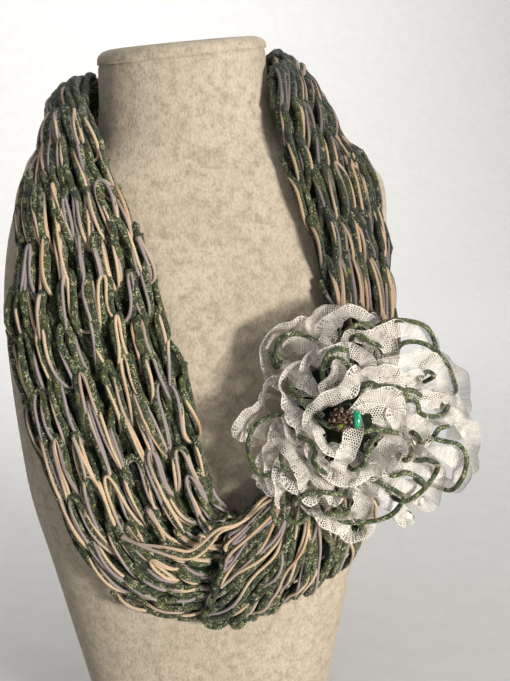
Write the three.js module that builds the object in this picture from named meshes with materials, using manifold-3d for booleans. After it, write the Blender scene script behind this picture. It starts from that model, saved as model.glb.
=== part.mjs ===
// An infinity scarf of big loose knit on its display bust, with a net-ribbon flower on one fall.
// Millimetres, +Z up, the bust's front facing -Y; the origin is the middle of the bust's flat base.

import * as THREE from 'three';
import { mergeVertices } from 'three/addons/utils/BufferGeometryUtils.js';
import Module from 'manifold-3d';

const SEAM_GAP = 0.3; // between pieces that touch

// The bust: its half widths to the left and right of the view, and its depths to the front and
// back, at each height. Its neck ends in a cap with a rounded rim, which slopes up to the right.
const BUST_SECTIONS = [
  { z: 0, left: 62, right: 65, front: 42, back: 38, slope: 0 },
  { z: 31, left: 67, right: 71, front: 44, back: 36, slope: 0 },
  { z: 70, left: 75, right: 79, front: 47, back: 34, slope: 0 },
  { z: 108, left: 83, right: 86, front: 49, back: 33, slope: 0 },
  { z: 150, left: 92, right: 93, front: 51, back: 32, slope: 0 },
  { z: 180, left: 95, right: 97, front: 52, back: 31, slope: 0 },
  { z: 213, left: 97, right: 101, front: 52, back: 31, slope: 0 },
  { z: 235, left: 97.5, right: 103, front: 51, back: 31, slope: 0 },
  { z: 260, left: 97, right: 105, front: 50, back: 31, slope: 0 },
  { z: 290, left: 92, right: 105, front: 47, back: 32, slope: 0 },
  { z: 304, left: 87, right: 104.5, front: 45, back: 33, slope: 0 },
  { z: 313, left: 80, right: 101.5, front: 43, back: 34, slope: 0 },
  { z: 320, left: 70, right: 93, front: 42, back: 34, slope: 0 },
  { z: 326, left: 58, right: 80, front: 41, back: 35, slope: 0 },
  { z: 332, left: 49, right: 60, front: 40, back: 35, slope: 0 },
  { z: 340, left: 44.5, right: 49, front: 39, back: 36, slope: 0.02 },
  { z: 354, left: 42.5, right: 44, front: 38.5, back: 36, slope: 0.06 },
  { z: 375, left: 41.5, right: 42, front: 38, back: 36.5, slope: 0.075 },
  { z: 376, left: 42, right: 42.8, front: 38.5, back: 37, slope: 0.075 },
  { z: 379, left: 41.6, right: 42.2, front: 38, back: 36.6, slope: 0.07 },
  { z: 381, left: 39.6, right: 40, front: 36, back: 34.6, slope: 0.065 },
  { z: 382, left: 36.5, right: 37, front: 33, back: 31.6, slope: 0.065 },
];
const BUST_FRONT_POWER = 2.3; // squareness of the section in front, where 2 is an ellipse
const BUST_BACK_POWER = 3.6; // and behind, where the bust is flatter
const BUST_POINTS = 32; // points round each section

// The scarf's sections in their order round the loop: from the end tucked under the twist, up the
// left fall, behind the neck, down the right fall and through the twist. inner is the edge on the
// neck's side of the loop and outer the other one. bulge arches the cloth between them, lift holds
// it off the bust, and thick is the thickness of the gathered knit.
const SCARF_SECTIONS = [
  { inner: [14, -52, 151], outer: [0, -50, 98], bulge: 2, lift: 1.2, thick: 7 },
  { inner: [9, -52, 152], outer: [-14, -50, 96], bulge: 2, lift: 1.2, thick: 8 },
  { inner: [5, -53, 155], outer: [-32, -48, 100], bulge: 2, lift: 1.2, thick: 11 },
  { inner: [2, -54, 163], outer: [-50, -44, 112], bulge: 3, lift: 1.2, thick: 13 },
  { inner: [-2, -54, 180], outer: [-65, -37, 136], bulge: 3, lift: 1.2, thick: 13 },
  { inner: [-6, -54, 204], outer: [-75, -34, 171], bulge: 3, lift: 1.2, thick: 13 },
  { inner: [-11, -53, 230], outer: [-82, -30, 202], bulge: 3, lift: 1.2, thick: 13 },
  { inner: [-16, -52, 250], outer: [-86, -26, 228], bulge: 4, lift: 1.2, thick: 13 },
  { inner: [-20, -50, 269], outer: [-86, -22, 254], bulge: 4, lift: 1.2, thick: 13 },
  { inner: [-26, -46, 289], outer: [-80, -22, 279], bulge: 4, lift: 1.2, thick: 13 },
  { inner: [-32, -42, 309], outer: [-75, -16, 303], bulge: 5, lift: 1.6, thick: 13 },
  { inner: [-39, -34, 327], outer: [-69, -3, 324], bulge: 5, lift: 1.6, thick: 13 },
  { inner: [-44, -20, 346], outer: [-61, 8, 341], bulge: 4, lift: 1.6, thick: 13 },
  { inner: [-46, 2, 360], outer: [-60, 26, 343], bulge: 4, lift: 1.2, thick: 13 },
  { inner: [-38, 28, 361], outer: [-52, 48, 330], bulge: 4, lift: 1.2, thick: 14 },
  { inner: [-18, 39, 364], outer: [-28, 58, 325], bulge: 4, lift: 1.2, thick: 14 },
  { inner: [2, 40, 365], outer: [2, 60, 325], bulge: 4, lift: 1.2, thick: 14 },
  { inner: [22, 39, 368], outer: [32, 58, 329], bulge: 4, lift: 1.2, thick: 14 },
  { inner: [40, 28, 370], outer: [54, 46, 339], bulge: 4, lift: 1.2, thick: 14 },
  { inner: [44, 3, 369], outer: [59, 24, 351], bulge: 4, lift: 1.2, thick: 13 },
  { inner: [41, -20, 362], outer: [60, 5, 352], bulge: 4, lift: 1.2, thick: 13 },
  { inner: [41, -33, 344], outer: [69, -5, 339], bulge: 5, lift: 1.6, thick: 13 },
  { inner: [43, -40, 326], outer: [75, -14, 322], bulge: 5, lift: 1.6, thick: 13 },
  { inner: [48.5, -43, 308], outer: [81, -19, 303], bulge: 5, lift: 1.2, thick: 14 },
  { inner: [55, -45, 286], outer: [86, -20, 276], bulge: 5, lift: 1.2, thick: 14 },
  { inner: [60, -46, 258], outer: [89, -19, 246], bulge: 5, lift: 1.2, thick: 14 },
  { inner: [63, -47, 230], outer: [93, -17, 214], bulge: 5, lift: 1.2, thick: 15 },
  { inner: [61, -48, 205], outer: [95, -18, 184], bulge: 5, lift: 1.2, thick: 17 },
  { inner: [53, -50, 184], outer: [86, -24, 156], bulge: 6, lift: 1.2, thick: 19 },
  { inner: [42, -52, 171], outer: [72, -34, 132], bulge: 7, lift: 1.2, thick: 21 },
  { inner: [31, -53, 166], outer: [57, -42, 116], bulge: 8, lift: 1.2, thick: 22 },
  { inner: [22, -54, 161], outer: [41, -46, 107], bulge: 8, lift: 3, thick: 21 },
  { inner: [15, -56, 156], outer: [25, -50, 100], bulge: 7, lift: 8, thick: 17 },
  { inner: [9, -60, 151], outer: [9, -56, 96], bulge: 4, lift: 10, thick: 13 },
  { inner: [4, -61, 147], outer: [-8, -58, 97], bulge: 2, lift: 10, thick: 7 },
];

// The stretches that show, each a run of those sections. wales are the lines of stitches across
// the cloth, and courses the stitches along it. The twist has no wales: its stitches are drawn out
// into strands from edge to edge, one to a course, and their inner ends lie back along the scarf by
// a number of sections that lean gives at some sections.
const SCARF_STRETCHES = [
  { name: 'scarf_left_fall', first: 0, last: 12, wales: 7, courses: 13 },
  { name: 'scarf_neck_back', first: 12, last: 20, wales: 5, courses: 8 },
  { name: 'scarf_right_fall', first: 20, last: 28, wales: 5, courses: 9 },
  { name: 'scarf_twist', first: 28, last: 34, wales: 0, courses: 17 },
];
const TWIST_LEAN = [
  { place: 28.4, lean: 0 },
  { place: 30, lean: 1.3 },
  { place: 31.7, lean: 2.2 },
  { place: 33, lean: 2.2 },
  { place: 34, lean: 0.9 },
];
const STITCH_HEIGHT = 3.2; // how far the yarn stands out of the knit's hollows
const STITCH_FOOT = 0.44; // of that height, left where one stitch ends and the next starts
const STITCH_SPREAD = 0.09; // how far the legs of a V lean in and out, in wales
const COLUMNS_PER_WALE = 4;
const ROWS_PER_COURSE = 3;
const TWIST_COLUMNS = 11;
const TWIST_UNDER_COLUMNS = 5;
const EDGE_THICKNESS = 0.38; // of the cloth's thickness, left at its two edges
const EDGE_POWER = 5; // the higher, the nearer to the edges the cloth starts to thin

// The flower: layers of loops round a stem, one above another. root is where a layer's loops
// start, from the axis and above the flower's back, and tilt their slope.
const FLOWER_CENTRE = new THREE.Vector3(64, -63.04, 201); // middle of its back
const FLOWER_TILT_UP = 17; // degrees
const FLOWER_TURN = -3; // degrees, to the left of the view
const RIBBON_THICK = 1.4;
const YARN_THICK = 3.6;
const RIBBON_LAYERS = [
  {
    name: 'flower_ribbon_outer', loops: 14, width: 12.5,
    root: 6, rise: 4.6, tilt: 13, length: 52, open: 6.2, turn: 0,
  },
  {
    name: 'flower_ribbon_middle', loops: 7, width: 11.5,
    root: 4, rise: 15.8, tilt: 42, length: 37, open: 4.8, turn: 17,
  },
  {
    name: 'flower_ribbon_inner', loops: 4, width: 8,
    root: 2, rise: 31, tilt: 78, length: 13, open: 3.2, turn: 8,
  },
];
const YARN_LAYERS = [
  { name: 'flower_yarn_outer', loops: 7, root: 7, rise: 11.8, tilt: 25, length: 46, open: 11, turn: 20 },
  { name: 'flower_yarn_inner', loops: 5, root: 3.2, rise: 24.6, tilt: 57, length: 25, open: 6, turn: 38 },
];
const BACKING = { radius: 24, thick: 3.6 };
// A ribbon layer's heart is filled to where its loops part, a little thicker than they are open.
const HEART = { beyond: 2, cover: 0.4, mostOfLoop: 0.75 };
// The stem's steps, one for each layer from the back to the front.
const STEM = [
  { layer: 'flower_ribbon_outer', radius: 7, from: 0, to: 9.3 },
  { layer: 'flower_yarn_outer', radius: 9, from: 9.6, to: 12.7 },
  { layer: 'flower_ribbon_middle', radius: 5, from: 13, to: 21.3 },
  { layer: 'flower_yarn_inner', radius: 4.2, from: 21.6, to: 28.8 },
  { layer: 'flower_ribbon_inner', radius: 3.6, from: 29.1, to: 44.3 },
];
// The beads sit on a small seat at the top of the stem, a little to the left of it.
const BEAD_SEAT = { radius: 9.5, thick: 2 };
const BRONZE_BEAD = { radius: 5.4, x: -7.2, y: -0.5 };
const GREEN_BEAD = { radius: 2.4, length: 9.6, x: 0.9, y: -0.8 };
const SHORT_LOOP = 0.9; // the length of every second loop of a layer, to the others'
const LOOP_SEGMENTS = 5; // half the points of a loop's outline
const STEM_SIDES = 10;

const COLOURS = {
  velvet: { color: 0xa39a86, roughness: 0.9, metalness: 0 },
  knit: { color: 0x3c4a35, roughness: 0.85, metalness: 0 },
  net: { color: 0xe9ddd2, roughness: 0.8, metalness: 0 },
  yarn: { color: 0x2f4a33, roughness: 0.85, metalness: 0 },
  bronze: { color: 0x8a6a4e, roughness: 0.4, metalness: 0.9 },
  glass: { color: 0x1fa36b, roughness: 0.2, metalness: 0 },
};

const wasm = await Module();
wasm.setup();

const { clamp, degToRad, lerp, inverseLerp } = THREE.MathUtils;

// Solid geometry

// A closed body as a manifold.
function toManifold(geometry) {
  const bare = geometry.index ? geometry.toNonIndexed() : geometry.clone();
  bare.deleteAttribute('normal');
  bare.deleteAttribute('uv');
  const merged = mergeVertices(bare, 1e-4);
  return new wasm.Manifold(new wasm.Mesh({
    numProp: 3,
    vertProperties: merged.attributes.position.array,
    triVerts: new Uint32Array(merged.index.array),
  }));
}

// A manifold as a geometry.
function toGeometry(manifold) {
  const mesh = manifold.getMesh();
  const geometry = new THREE.BufferGeometry();
  geometry.setAttribute('position', new THREE.BufferAttribute(mesh.vertProperties, 3));
  geometry.setIndex(new THREE.BufferAttribute(mesh.triVerts, 1));
  geometry.computeVertexNormals();
  return geometry;
}

// Several closed bodies that meet, as one.
function fuse(geometries) {
  return toGeometry(geometries.map(toManifold).reduce((whole, piece) => whole.add(piece)));
}

// The unit normal of a flat ring of points that turns anticlockwise about it.
function ringNormal(ring) {
  const normal = new THREE.Vector3();
  ring.forEach((point, i) => {
    normal.add(new THREE.Vector3().crossVectors(point, ring[(i + 1) % ring.length]));
  });
  return normal.normalize();
}

// Triangles that fill a flat ring, each anticlockwise about the ring's normal.
function fillRing(ring) {
  const normal = ringNormal(ring);
  const right = ring[Math.floor(ring.length / 2)].clone().sub(ring[0]);
  right.addScaledVector(normal, -right.dot(normal)).normalize();
  const up = new THREE.Vector3().crossVectors(normal, right);
  const flat = ring.map((point) => new THREE.Vector2(point.dot(right), point.dot(up)));
  return THREE.ShapeUtils.triangulateShape(flat, []).map(([a, b, c]) => {
    const turn = flat[b].clone().sub(flat[a]).cross(flat[c].clone().sub(flat[a]));
    return turn > 0 ? [a, b, c] : [a, c, b];
  });
}

// A closed body through flat rings of equally many points, each anticlockwise seen from the last.
function loft(rings) {
  const count = rings[0].length;
  const index = [];
  for (let row = 0; row + 1 < rings.length; row++) {
    for (let i = 0; i < count; i++) {
      const next = (i + 1) % count;
      const [a, b] = [row * count + i, row * count + next];
      index.push(a, b, b + count, a, b + count, a + count);
    }
  }
  const lastStart = (rings.length - 1) * count;
  for (const [a, b, c] of fillRing(rings[0])) index.push(a, c, b);
  for (const [a, b, c] of fillRing(rings.at(-1))) index.push(lastStart + a, lastStart + b, lastStart + c);
  const geometry = new THREE.BufferGeometry().setFromPoints(rings.flat());
  geometry.setIndex(index);
  geometry.computeVertexNormals();
  return geometry;
}

// The bust

// The bust's half widths and depths at a height.
function bustSection(z) {
  const after = BUST_SECTIONS.findIndex((section) => section.z >= z);
  if (after === 0) return BUST_SECTIONS[0];
  if (after < 0) return BUST_SECTIONS.at(-1);
  const [low, high] = [BUST_SECTIONS[after - 1], BUST_SECTIONS[after]];
  const t = inverseLerp(low.z, high.z, z);
  const between = (key) => lerp(low[key], high[key], t);
  return { left: between('left'), right: between('right'), front: between('front'), back: between('back') };
}

// A power that keeps the number's sign.
const signedPower = (value, power) => Math.sign(value) * Math.abs(value) ** power;

// The ring of the bust at one of its sections, anticlockwise from above.
function bustRing(section) {
  return Array.from({ length: BUST_POINTS }, (_, i) => {
    const angle = (2 * Math.PI * i) / BUST_POINTS;
    const [cos, sin] = [Math.cos(angle), Math.sin(angle)];
    const power = 2 / (sin > 0 ? BUST_BACK_POWER : BUST_FRONT_POWER);
    const x = signedPower(cos, power) * (cos > 0 ? section.right : section.left);
    const y = signedPower(sin, power) * (sin > 0 ? section.back : section.front);
    return new THREE.Vector3(x, y, section.z + section.slope * x);
  });
}

// Whether a point is outside the bust by a clearance.
function clearOfBust(point, clearance) {
  const section = bustSection(point.z);
  const width = (point.x > 0 ? section.right : section.left) + clearance;
  const depth = (point.y > 0 ? section.back : section.front) + clearance;
  const power = point.y > 0 ? BUST_BACK_POWER : BUST_FRONT_POWER;
  return (Math.abs(point.x) / width) ** power + (Math.abs(point.y) / depth) ** power >= 1;
}

// The scarf

const innerEdge = new THREE.CatmullRomCurve3(SCARF_SECTIONS.map((s) => new THREE.Vector3(...s.inner)));
const outerEdge = new THREE.CatmullRomCurve3(SCARF_SECTIONS.map((s) => new THREE.Vector3(...s.outer)));
const LAST_SECTION = SCARF_SECTIONS.length - 1;
const CLEARANCE_STEP = 0.5; // of the search for the height that clears the bust
const CLEARANCE_REACH = 60;
const FRAME_STEP = 0.1; // sections, to each side, over which the scarf's run is taken
const SLOPE_STEP = 0.05; // of the width, over which the cloth's slope is taken

// A value of the sections' table at a place along the scarf, given in sections.
function sectionValue(key, place) {
  const low = clamp(Math.floor(place), 0, LAST_SECTION - 1);
  const t = THREE.MathUtils.smoothstep(place - low, 0, 1);
  return lerp(SCARF_SECTIONS[low][key], SCARF_SECTIONS[low + 1][key], t);
}

// How far back along the scarf a section's inner end lies, in sections.
function leanAt(place) {
  const after = TWIST_LEAN.findIndex((entry) => entry.place > place);
  if (after < 0) return TWIST_LEAN.at(-1).lean;
  if (after === 0) return 0;
  const [low, high] = [TWIST_LEAN[after - 1], TWIST_LEAN[after]];
  return lerp(low.lean, high.lean, inverseLerp(low.place, high.place, place));
}

// A section's two ends.
function sectionEnds(place) {
  const inner = innerEdge.getPoint(clamp((place - leanAt(place)) / LAST_SECTION, 0, 1));
  const outer = outerEdge.getPoint(clamp(place / LAST_SECTION, 0, 1));
  return { inner, outer };
}

// The middle of a section.
function sectionMiddle(place) {
  const { inner, outer } = sectionEnds(place);
  return inner.lerp(outer, 0.5);
}

// The flat frame of a section: its corner, the way across it, and the way out of the cloth.
function sectionFrame(place) {
  const { inner, outer } = sectionEnds(place);
  const across = outer.sub(inner);
  const width = across.length();
  across.divideScalar(width);
  const along = sectionMiddle(place + FRAME_STEP).sub(sectionMiddle(place - FRAME_STEP));
  const out = new THREE.Vector3().crossVectors(along, across).normalize();
  const [lift, bulge, thick] = ['lift', 'bulge', 'thick'].map((key) => sectionValue(key, place));
  return { corner: inner, across, width, out, lift, bulge, thick };
}

// A point in a section's plane.
function inSection(frame, across, out) {
  return frame.corner.clone().addScaledVector(frame.across, across).addScaledVector(frame.out, out);
}

// How high the cloth's underside lies at a share of the width: on its arch, or just clear of the bust.
function undersideHeight(frame, share) {
  const start = frame.bulge * 4 * share * (1 - share);
  const across = share * frame.width;
  let height = start;
  while (!clearOfBust(inSection(frame, across, height), frame.lift) && height < start + CLEARANCE_REACH) {
    height += CLEARANCE_STEP;
  }
  if (height === start) return height;
  let low = height - CLEARANCE_STEP;
  for (let halving = 0; halving < 8; halving++) {
    const middle = (low + height) / 2;
    if (clearOfBust(inSection(frame, across, middle), frame.lift)) height = middle;
    else low = middle;
  }
  return height;
}

// A point of the cloth at a share of the width, raised from its underside squarely to it.
function clothPoint(frame, share, raise) {
  const [before, after] = [Math.max(share - SLOPE_STEP, 0), Math.min(share + SLOPE_STEP, 1)];
  const rise = undersideHeight(frame, after) - undersideHeight(frame, before);
  const run = (after - before) * frame.width;
  const length = Math.hypot(rise, run);
  const out = undersideHeight(frame, share) + (raise * run) / length;
  return inSection(frame, share * frame.width - (raise * rise) / length, out);
}

// The knit's relief: two legs to each wale that swell between the stitches' ends, or one strand to
// each course of the twist.
function stitch(stretch, wale, course) {
  if (!stretch.wales) return STITCH_HEIGHT * (0.5 - 0.5 * Math.cos(2 * Math.PI * course));
  const leg = 0.5 - 0.5 * Math.cos(4 * Math.PI * wale);
  const swell = 0.5 - 0.5 * Math.cos(2 * Math.PI * course);
  return STITCH_HEIGHT * leg * lerp(STITCH_FOOT, 1, swell);
}

// The shares of the width at which a stretch's outer points lie. In the knit, four to a wale: its
// two sides, its middle and its two legs, which lean together at the foot of each stitch.
function outerShares(stretch, course) {
  if (!stretch.wales) return Array.from({ length: TWIST_COLUMNS }, (_, i) => i / (TWIST_COLUMNS - 1));
  const spread = STITCH_SPREAD * Math.cos(2 * Math.PI * course);
  return Array.from({ length: stretch.wales * COLUMNS_PER_WALE + 1 }, (_, column) => {
    const part = column % COLUMNS_PER_WALE;
    const lean = part % 2 ? spread * (2 - part) : 0;
    return (column / COLUMNS_PER_WALE + lean) / stretch.wales;
  });
}

// The closed ring of a section, anticlockwise seen from the scarf's far end: a plain underside,
// and the stitches outside.
function sectionRing(stretch, place, course) {
  const frame = sectionFrame(place);
  const under = stretch.wales || TWIST_UNDER_COLUMNS;
  const ring = Array.from({ length: under + 1 }, (_, i) => clothPoint(frame, i / under, 0));
  for (const share of outerShares(stretch, course).toReversed()) {
    const edge = Math.abs(2 * share - 1);
    const round = lerp(EDGE_THICKNESS, 1, Math.sqrt(1 - edge ** EDGE_POWER));
    const relief = edge < 1 ? stitch(stretch, share * stretch.wales, course) : 0;
    ring.push(clothPoint(frame, share, (frame.thick - STITCH_HEIGHT) * round + relief));
  }
  return ring;
}

// One stretch of the scarf, with half a seam's gap left at each end that joins another.
function makeStretch(stretch) {
  const halfGap = (place) => (
    SEAM_GAP / 2 / sectionMiddle(place + 0.5).distanceTo(sectionMiddle(place - 0.5))
  );
  const start = stretch.first + (stretch.first > 0 ? halfGap(stretch.first) : 0);
  const end = stretch.last - (stretch.last < LAST_SECTION ? halfGap(stretch.last) : 0);
  const rows = stretch.courses * ROWS_PER_COURSE;
  return loft(Array.from({ length: rows + 1 }, (_, row) => (
    sectionRing(stretch, lerp(start, end, row / rows), row / ROWS_PER_COURSE)
  )));
}

// The flower, made facing +Z about its own axis

// An oval ring of material: long and open are its outline's sizes, and it is as deep as wide.
function ovalRing(length, open, thick, depth) {
  const half = length / 2;
  const shape = new THREE.Shape().absellipse(half, 0, half, open, 0, 2 * Math.PI);
  shape.holes.push(new THREE.Path().absellipse(half, 0, half - thick, open - thick, 0, 2 * Math.PI));
  return new THREE.ExtrudeGeometry(shape, { depth, bevelEnabled: false, curveSegments: LOOP_SEGMENTS })
    .translate(0, 0, -depth / 2);
}

// A layer's loops round the axis, given one loop of a length that lies along X from the origin.
function makeLoops(layer, makeLoop) {
  return Array.from({ length: layer.loops }, (_, i) => (
    makeLoop(layer.length * (i % 2 ? SHORT_LOOP : 1))
      .rotateY(-degToRad(layer.tilt))
      .translate(layer.root, 0, layer.rise)
      .rotateZ(degToRad(layer.turn) + (2 * Math.PI * i) / layer.loops)
  ));
}

// Ribbon loops stand on edge.
const ribbonLoops = (layer) => makeLoops(layer, (length) => (
  ovalRing(length, layer.open, RIBBON_THICK, layer.width).rotateX(Math.PI / 2)
));

// Yarn loops lie flat.
const yarnLoops = (layer) => makeLoops(layer, (length) => (
  ovalRing(length, layer.open, YARN_THICK, YARN_THICK)
));

// The gathered heart of a layer of ribbon, solid as far out as its loops crowd each other.
function ribbonHeart(layer) {
  const crowded = (layer.loops * layer.width) / (2 * Math.PI) + HEART.beyond;
  const tilt = degToRad(layer.tilt);
  const reach = Math.min((crowded - layer.root) / Math.cos(tilt), HEART.mostOfLoop * layer.length);
  const side = (share, sign) => {
    const x = reach * share;
    const half = sign * (layer.open + HEART.cover) * Math.sqrt(1 - (2 * x / layer.length - 1) ** 2);
    return new THREE.Vector2(
      Math.max(layer.root + x * Math.cos(tilt) - half * Math.sin(tilt), 0.5),
      layer.rise + x * Math.sin(tilt) + half * Math.cos(tilt),
    );
  };
  const shares = [0.08, 0.5, 1];
  const profile = [
    ...shares.map((share) => side(share, -1)),
    ...shares.toReversed().map((share) => side(share, 1)),
  ];
  profile.unshift(new THREE.Vector2(0, profile[0].y));
  profile.push(new THREE.Vector2(0, profile.at(-1).y));
  return new THREE.LatheGeometry(profile, STEM_SIDES).rotateX(Math.PI / 2);
}

// A round disc or stem along the flower's axis.
function disc(radius, from, to) {
  return new THREE.CylinderGeometry(radius, radius, to - from, STEM_SIDES)
    .rotateX(Math.PI / 2)
    .translate(0, 0, (from + to) / 2);
}

// A layer of the flower from its loops, with its step of the stem and the disc at that step's end.
function makeLayer(layer, loops) {
  const step = STEM.find((s) => s.layer === layer.name);
  const pieces = [disc(step.radius, step.from, step.to), ...loops];
  if (step.from === 0) pieces.push(disc(BACKING.radius, 0, BACKING.thick));
  if (step === STEM.at(-1)) pieces.push(disc(BEAD_SEAT.radius, step.to - BEAD_SEAT.thick, step.to));
  return fuse(pieces);
}

// The object

function makeMesh(name, geometry, finish) {
  const mesh = new THREE.Mesh(geometry, new THREE.MeshStandardMaterial(finish));
  mesh.name = name;
  return mesh;
}

function makeFlower() {
  const flower = new THREE.Group();
  for (const layer of RIBBON_LAYERS) {
    const loops = [ribbonHeart(layer), ...ribbonLoops(layer)];
    flower.add(makeMesh(layer.name, makeLayer(layer, loops), COLOURS.net));
  }
  for (const layer of YARN_LAYERS) {
    flower.add(makeMesh(layer.name, makeLayer(layer, yarnLoops(layer)), COLOURS.yarn));
  }
  const seat = STEM.at(-1).to + SEAM_GAP;
  const ball = new THREE.SphereGeometry(BRONZE_BEAD.radius, 16, 10);
  const bronze = makeMesh('bead_bronze', ball, COLOURS.bronze);
  bronze.position.set(BRONZE_BEAD.x, BRONZE_BEAD.y, seat + BRONZE_BEAD.radius);
  const oval = new THREE.SphereGeometry(GREEN_BEAD.radius, 14, 10);
  oval.scale(1, GREEN_BEAD.length / 2 / GREEN_BEAD.radius, 1);
  const green = makeMesh('bead_green', oval, COLOURS.glass);
  green.position.set(GREEN_BEAD.x, GREEN_BEAD.y, seat + BRONZE_BEAD.radius);
  flower.add(bronze, green);
  // Its axis, +Z in its own frame, turns to face the front, -Y.
  flower.rotation.set(degToRad(90 - FLOWER_TILT_UP), 0, 0);
  const placed = new THREE.Group().add(flower);
  placed.rotation.z = degToRad(FLOWER_TURN);
  placed.position.copy(FLOWER_CENTRE);
  return placed;
}

const scarfOnBust = new THREE.Group();
scarfOnBust.add(makeMesh('display_bust', loft(BUST_SECTIONS.map(bustRing)), COLOURS.velvet));
for (const stretch of SCARF_STRETCHES) {
  scarfOnBust.add(makeMesh(stretch.name, makeStretch(stretch), COLOURS.knit));
}
scarfOnBust.add(makeFlower());

export default scarfOnBust;
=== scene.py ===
"""Dresses an infinity scarf on its display bust: knitted yarns, a net-ribbon flower, beads and velvet.

The tables of the bust, the scarf and the flower are in millimetres, like the solids; every mesh
is in metres, in the solids' own frame: X to the right of the view, Y to the back and Z up.
"""

import logging
import math
from dataclasses import dataclass, field
from enum import Enum
from typing import Any, NamedTuple, Sequence

import bpy
import numpy as np
from mathutils import Matrix, Vector
from numpy.typing import NDArray


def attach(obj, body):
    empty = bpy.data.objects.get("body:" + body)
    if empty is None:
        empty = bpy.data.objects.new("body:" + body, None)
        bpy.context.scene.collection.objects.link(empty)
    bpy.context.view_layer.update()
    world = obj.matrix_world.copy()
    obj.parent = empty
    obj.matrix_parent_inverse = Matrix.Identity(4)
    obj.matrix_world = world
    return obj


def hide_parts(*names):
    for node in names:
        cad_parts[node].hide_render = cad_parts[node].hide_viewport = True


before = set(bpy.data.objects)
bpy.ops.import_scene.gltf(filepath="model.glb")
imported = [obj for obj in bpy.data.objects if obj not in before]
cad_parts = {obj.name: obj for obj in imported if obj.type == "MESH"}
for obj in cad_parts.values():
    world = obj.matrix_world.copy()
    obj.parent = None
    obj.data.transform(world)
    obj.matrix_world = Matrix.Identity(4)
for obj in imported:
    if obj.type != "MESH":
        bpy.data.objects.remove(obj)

Array = NDArray[np.float64]
Faces = NDArray[np.int64]
Triple = tuple[float, float, float]
Colour = tuple[float, float, float]

MM = 0.001
BODY = "root"
TURN = 2 * math.pi
AXIS = np.array([0.0, 0.0, 1.0])
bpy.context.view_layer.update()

log = logging.getLogger("scarf")


# Shaders


class Link:
    """A node's output, with the arithmetic that adds Math nodes."""

    def __init__(self, shader: "Shader", socket: bpy.types.NodeSocket) -> None:
        """Wraps an output socket of a shader's node."""
        self.shader = shader
        self.socket = socket

    def _math(self, operation: str, first: "Link | float", second: "Link | float") -> "Link":
        """A Math node of two values."""
        return self.shader.node("ShaderNodeMath", {"operation": operation}, {0: first, 1: second})

    def __add__(self, other: "Link | float") -> "Link":
        """This plus another value."""
        return self._math("ADD", self, other)

    __radd__ = __add__

    def __sub__(self, other: "Link | float") -> "Link":
        """This less another value."""
        return self._math("SUBTRACT", self, other)

    def __rsub__(self, other: "Link | float") -> "Link":
        """Another value less this."""
        return self._math("SUBTRACT", other, self)

    def __mul__(self, other: "Link | float") -> "Link":
        """This times another value."""
        return self._math("MULTIPLY", self, other)

    __rmul__ = __mul__

    def sine(self) -> "Link":
        """The sine of this, in radians."""
        return self.shader.node("ShaderNodeMath", {"operation": "SINE"}, {0: self})

    def between(self, low: float, high: float) -> "Link":
        """This mapped smoothly to 0 at low and 1 at high.

        Args:
            low: the value that gives 0.
            high: the value that gives 1.

        Returns:
            The mapped value, held from 0 to 1.
        """
        settings = {"interpolation_type": "SMOOTHSTEP"}
        return self.shader.node("ShaderNodeMapRange", settings, {"Value": self, 1: low, 2: high})


class Grain(NamedTuple):
    """Soft noise in a finish."""

    scale: float  # its waves to a metre
    detail: float = 2.0  # how many finer waves are added
    roughness: float = 0.5  # how strong those are
    span: tuple[float, float] = (0.0, 1.0)  # the values that give none and all of what it drives


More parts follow.
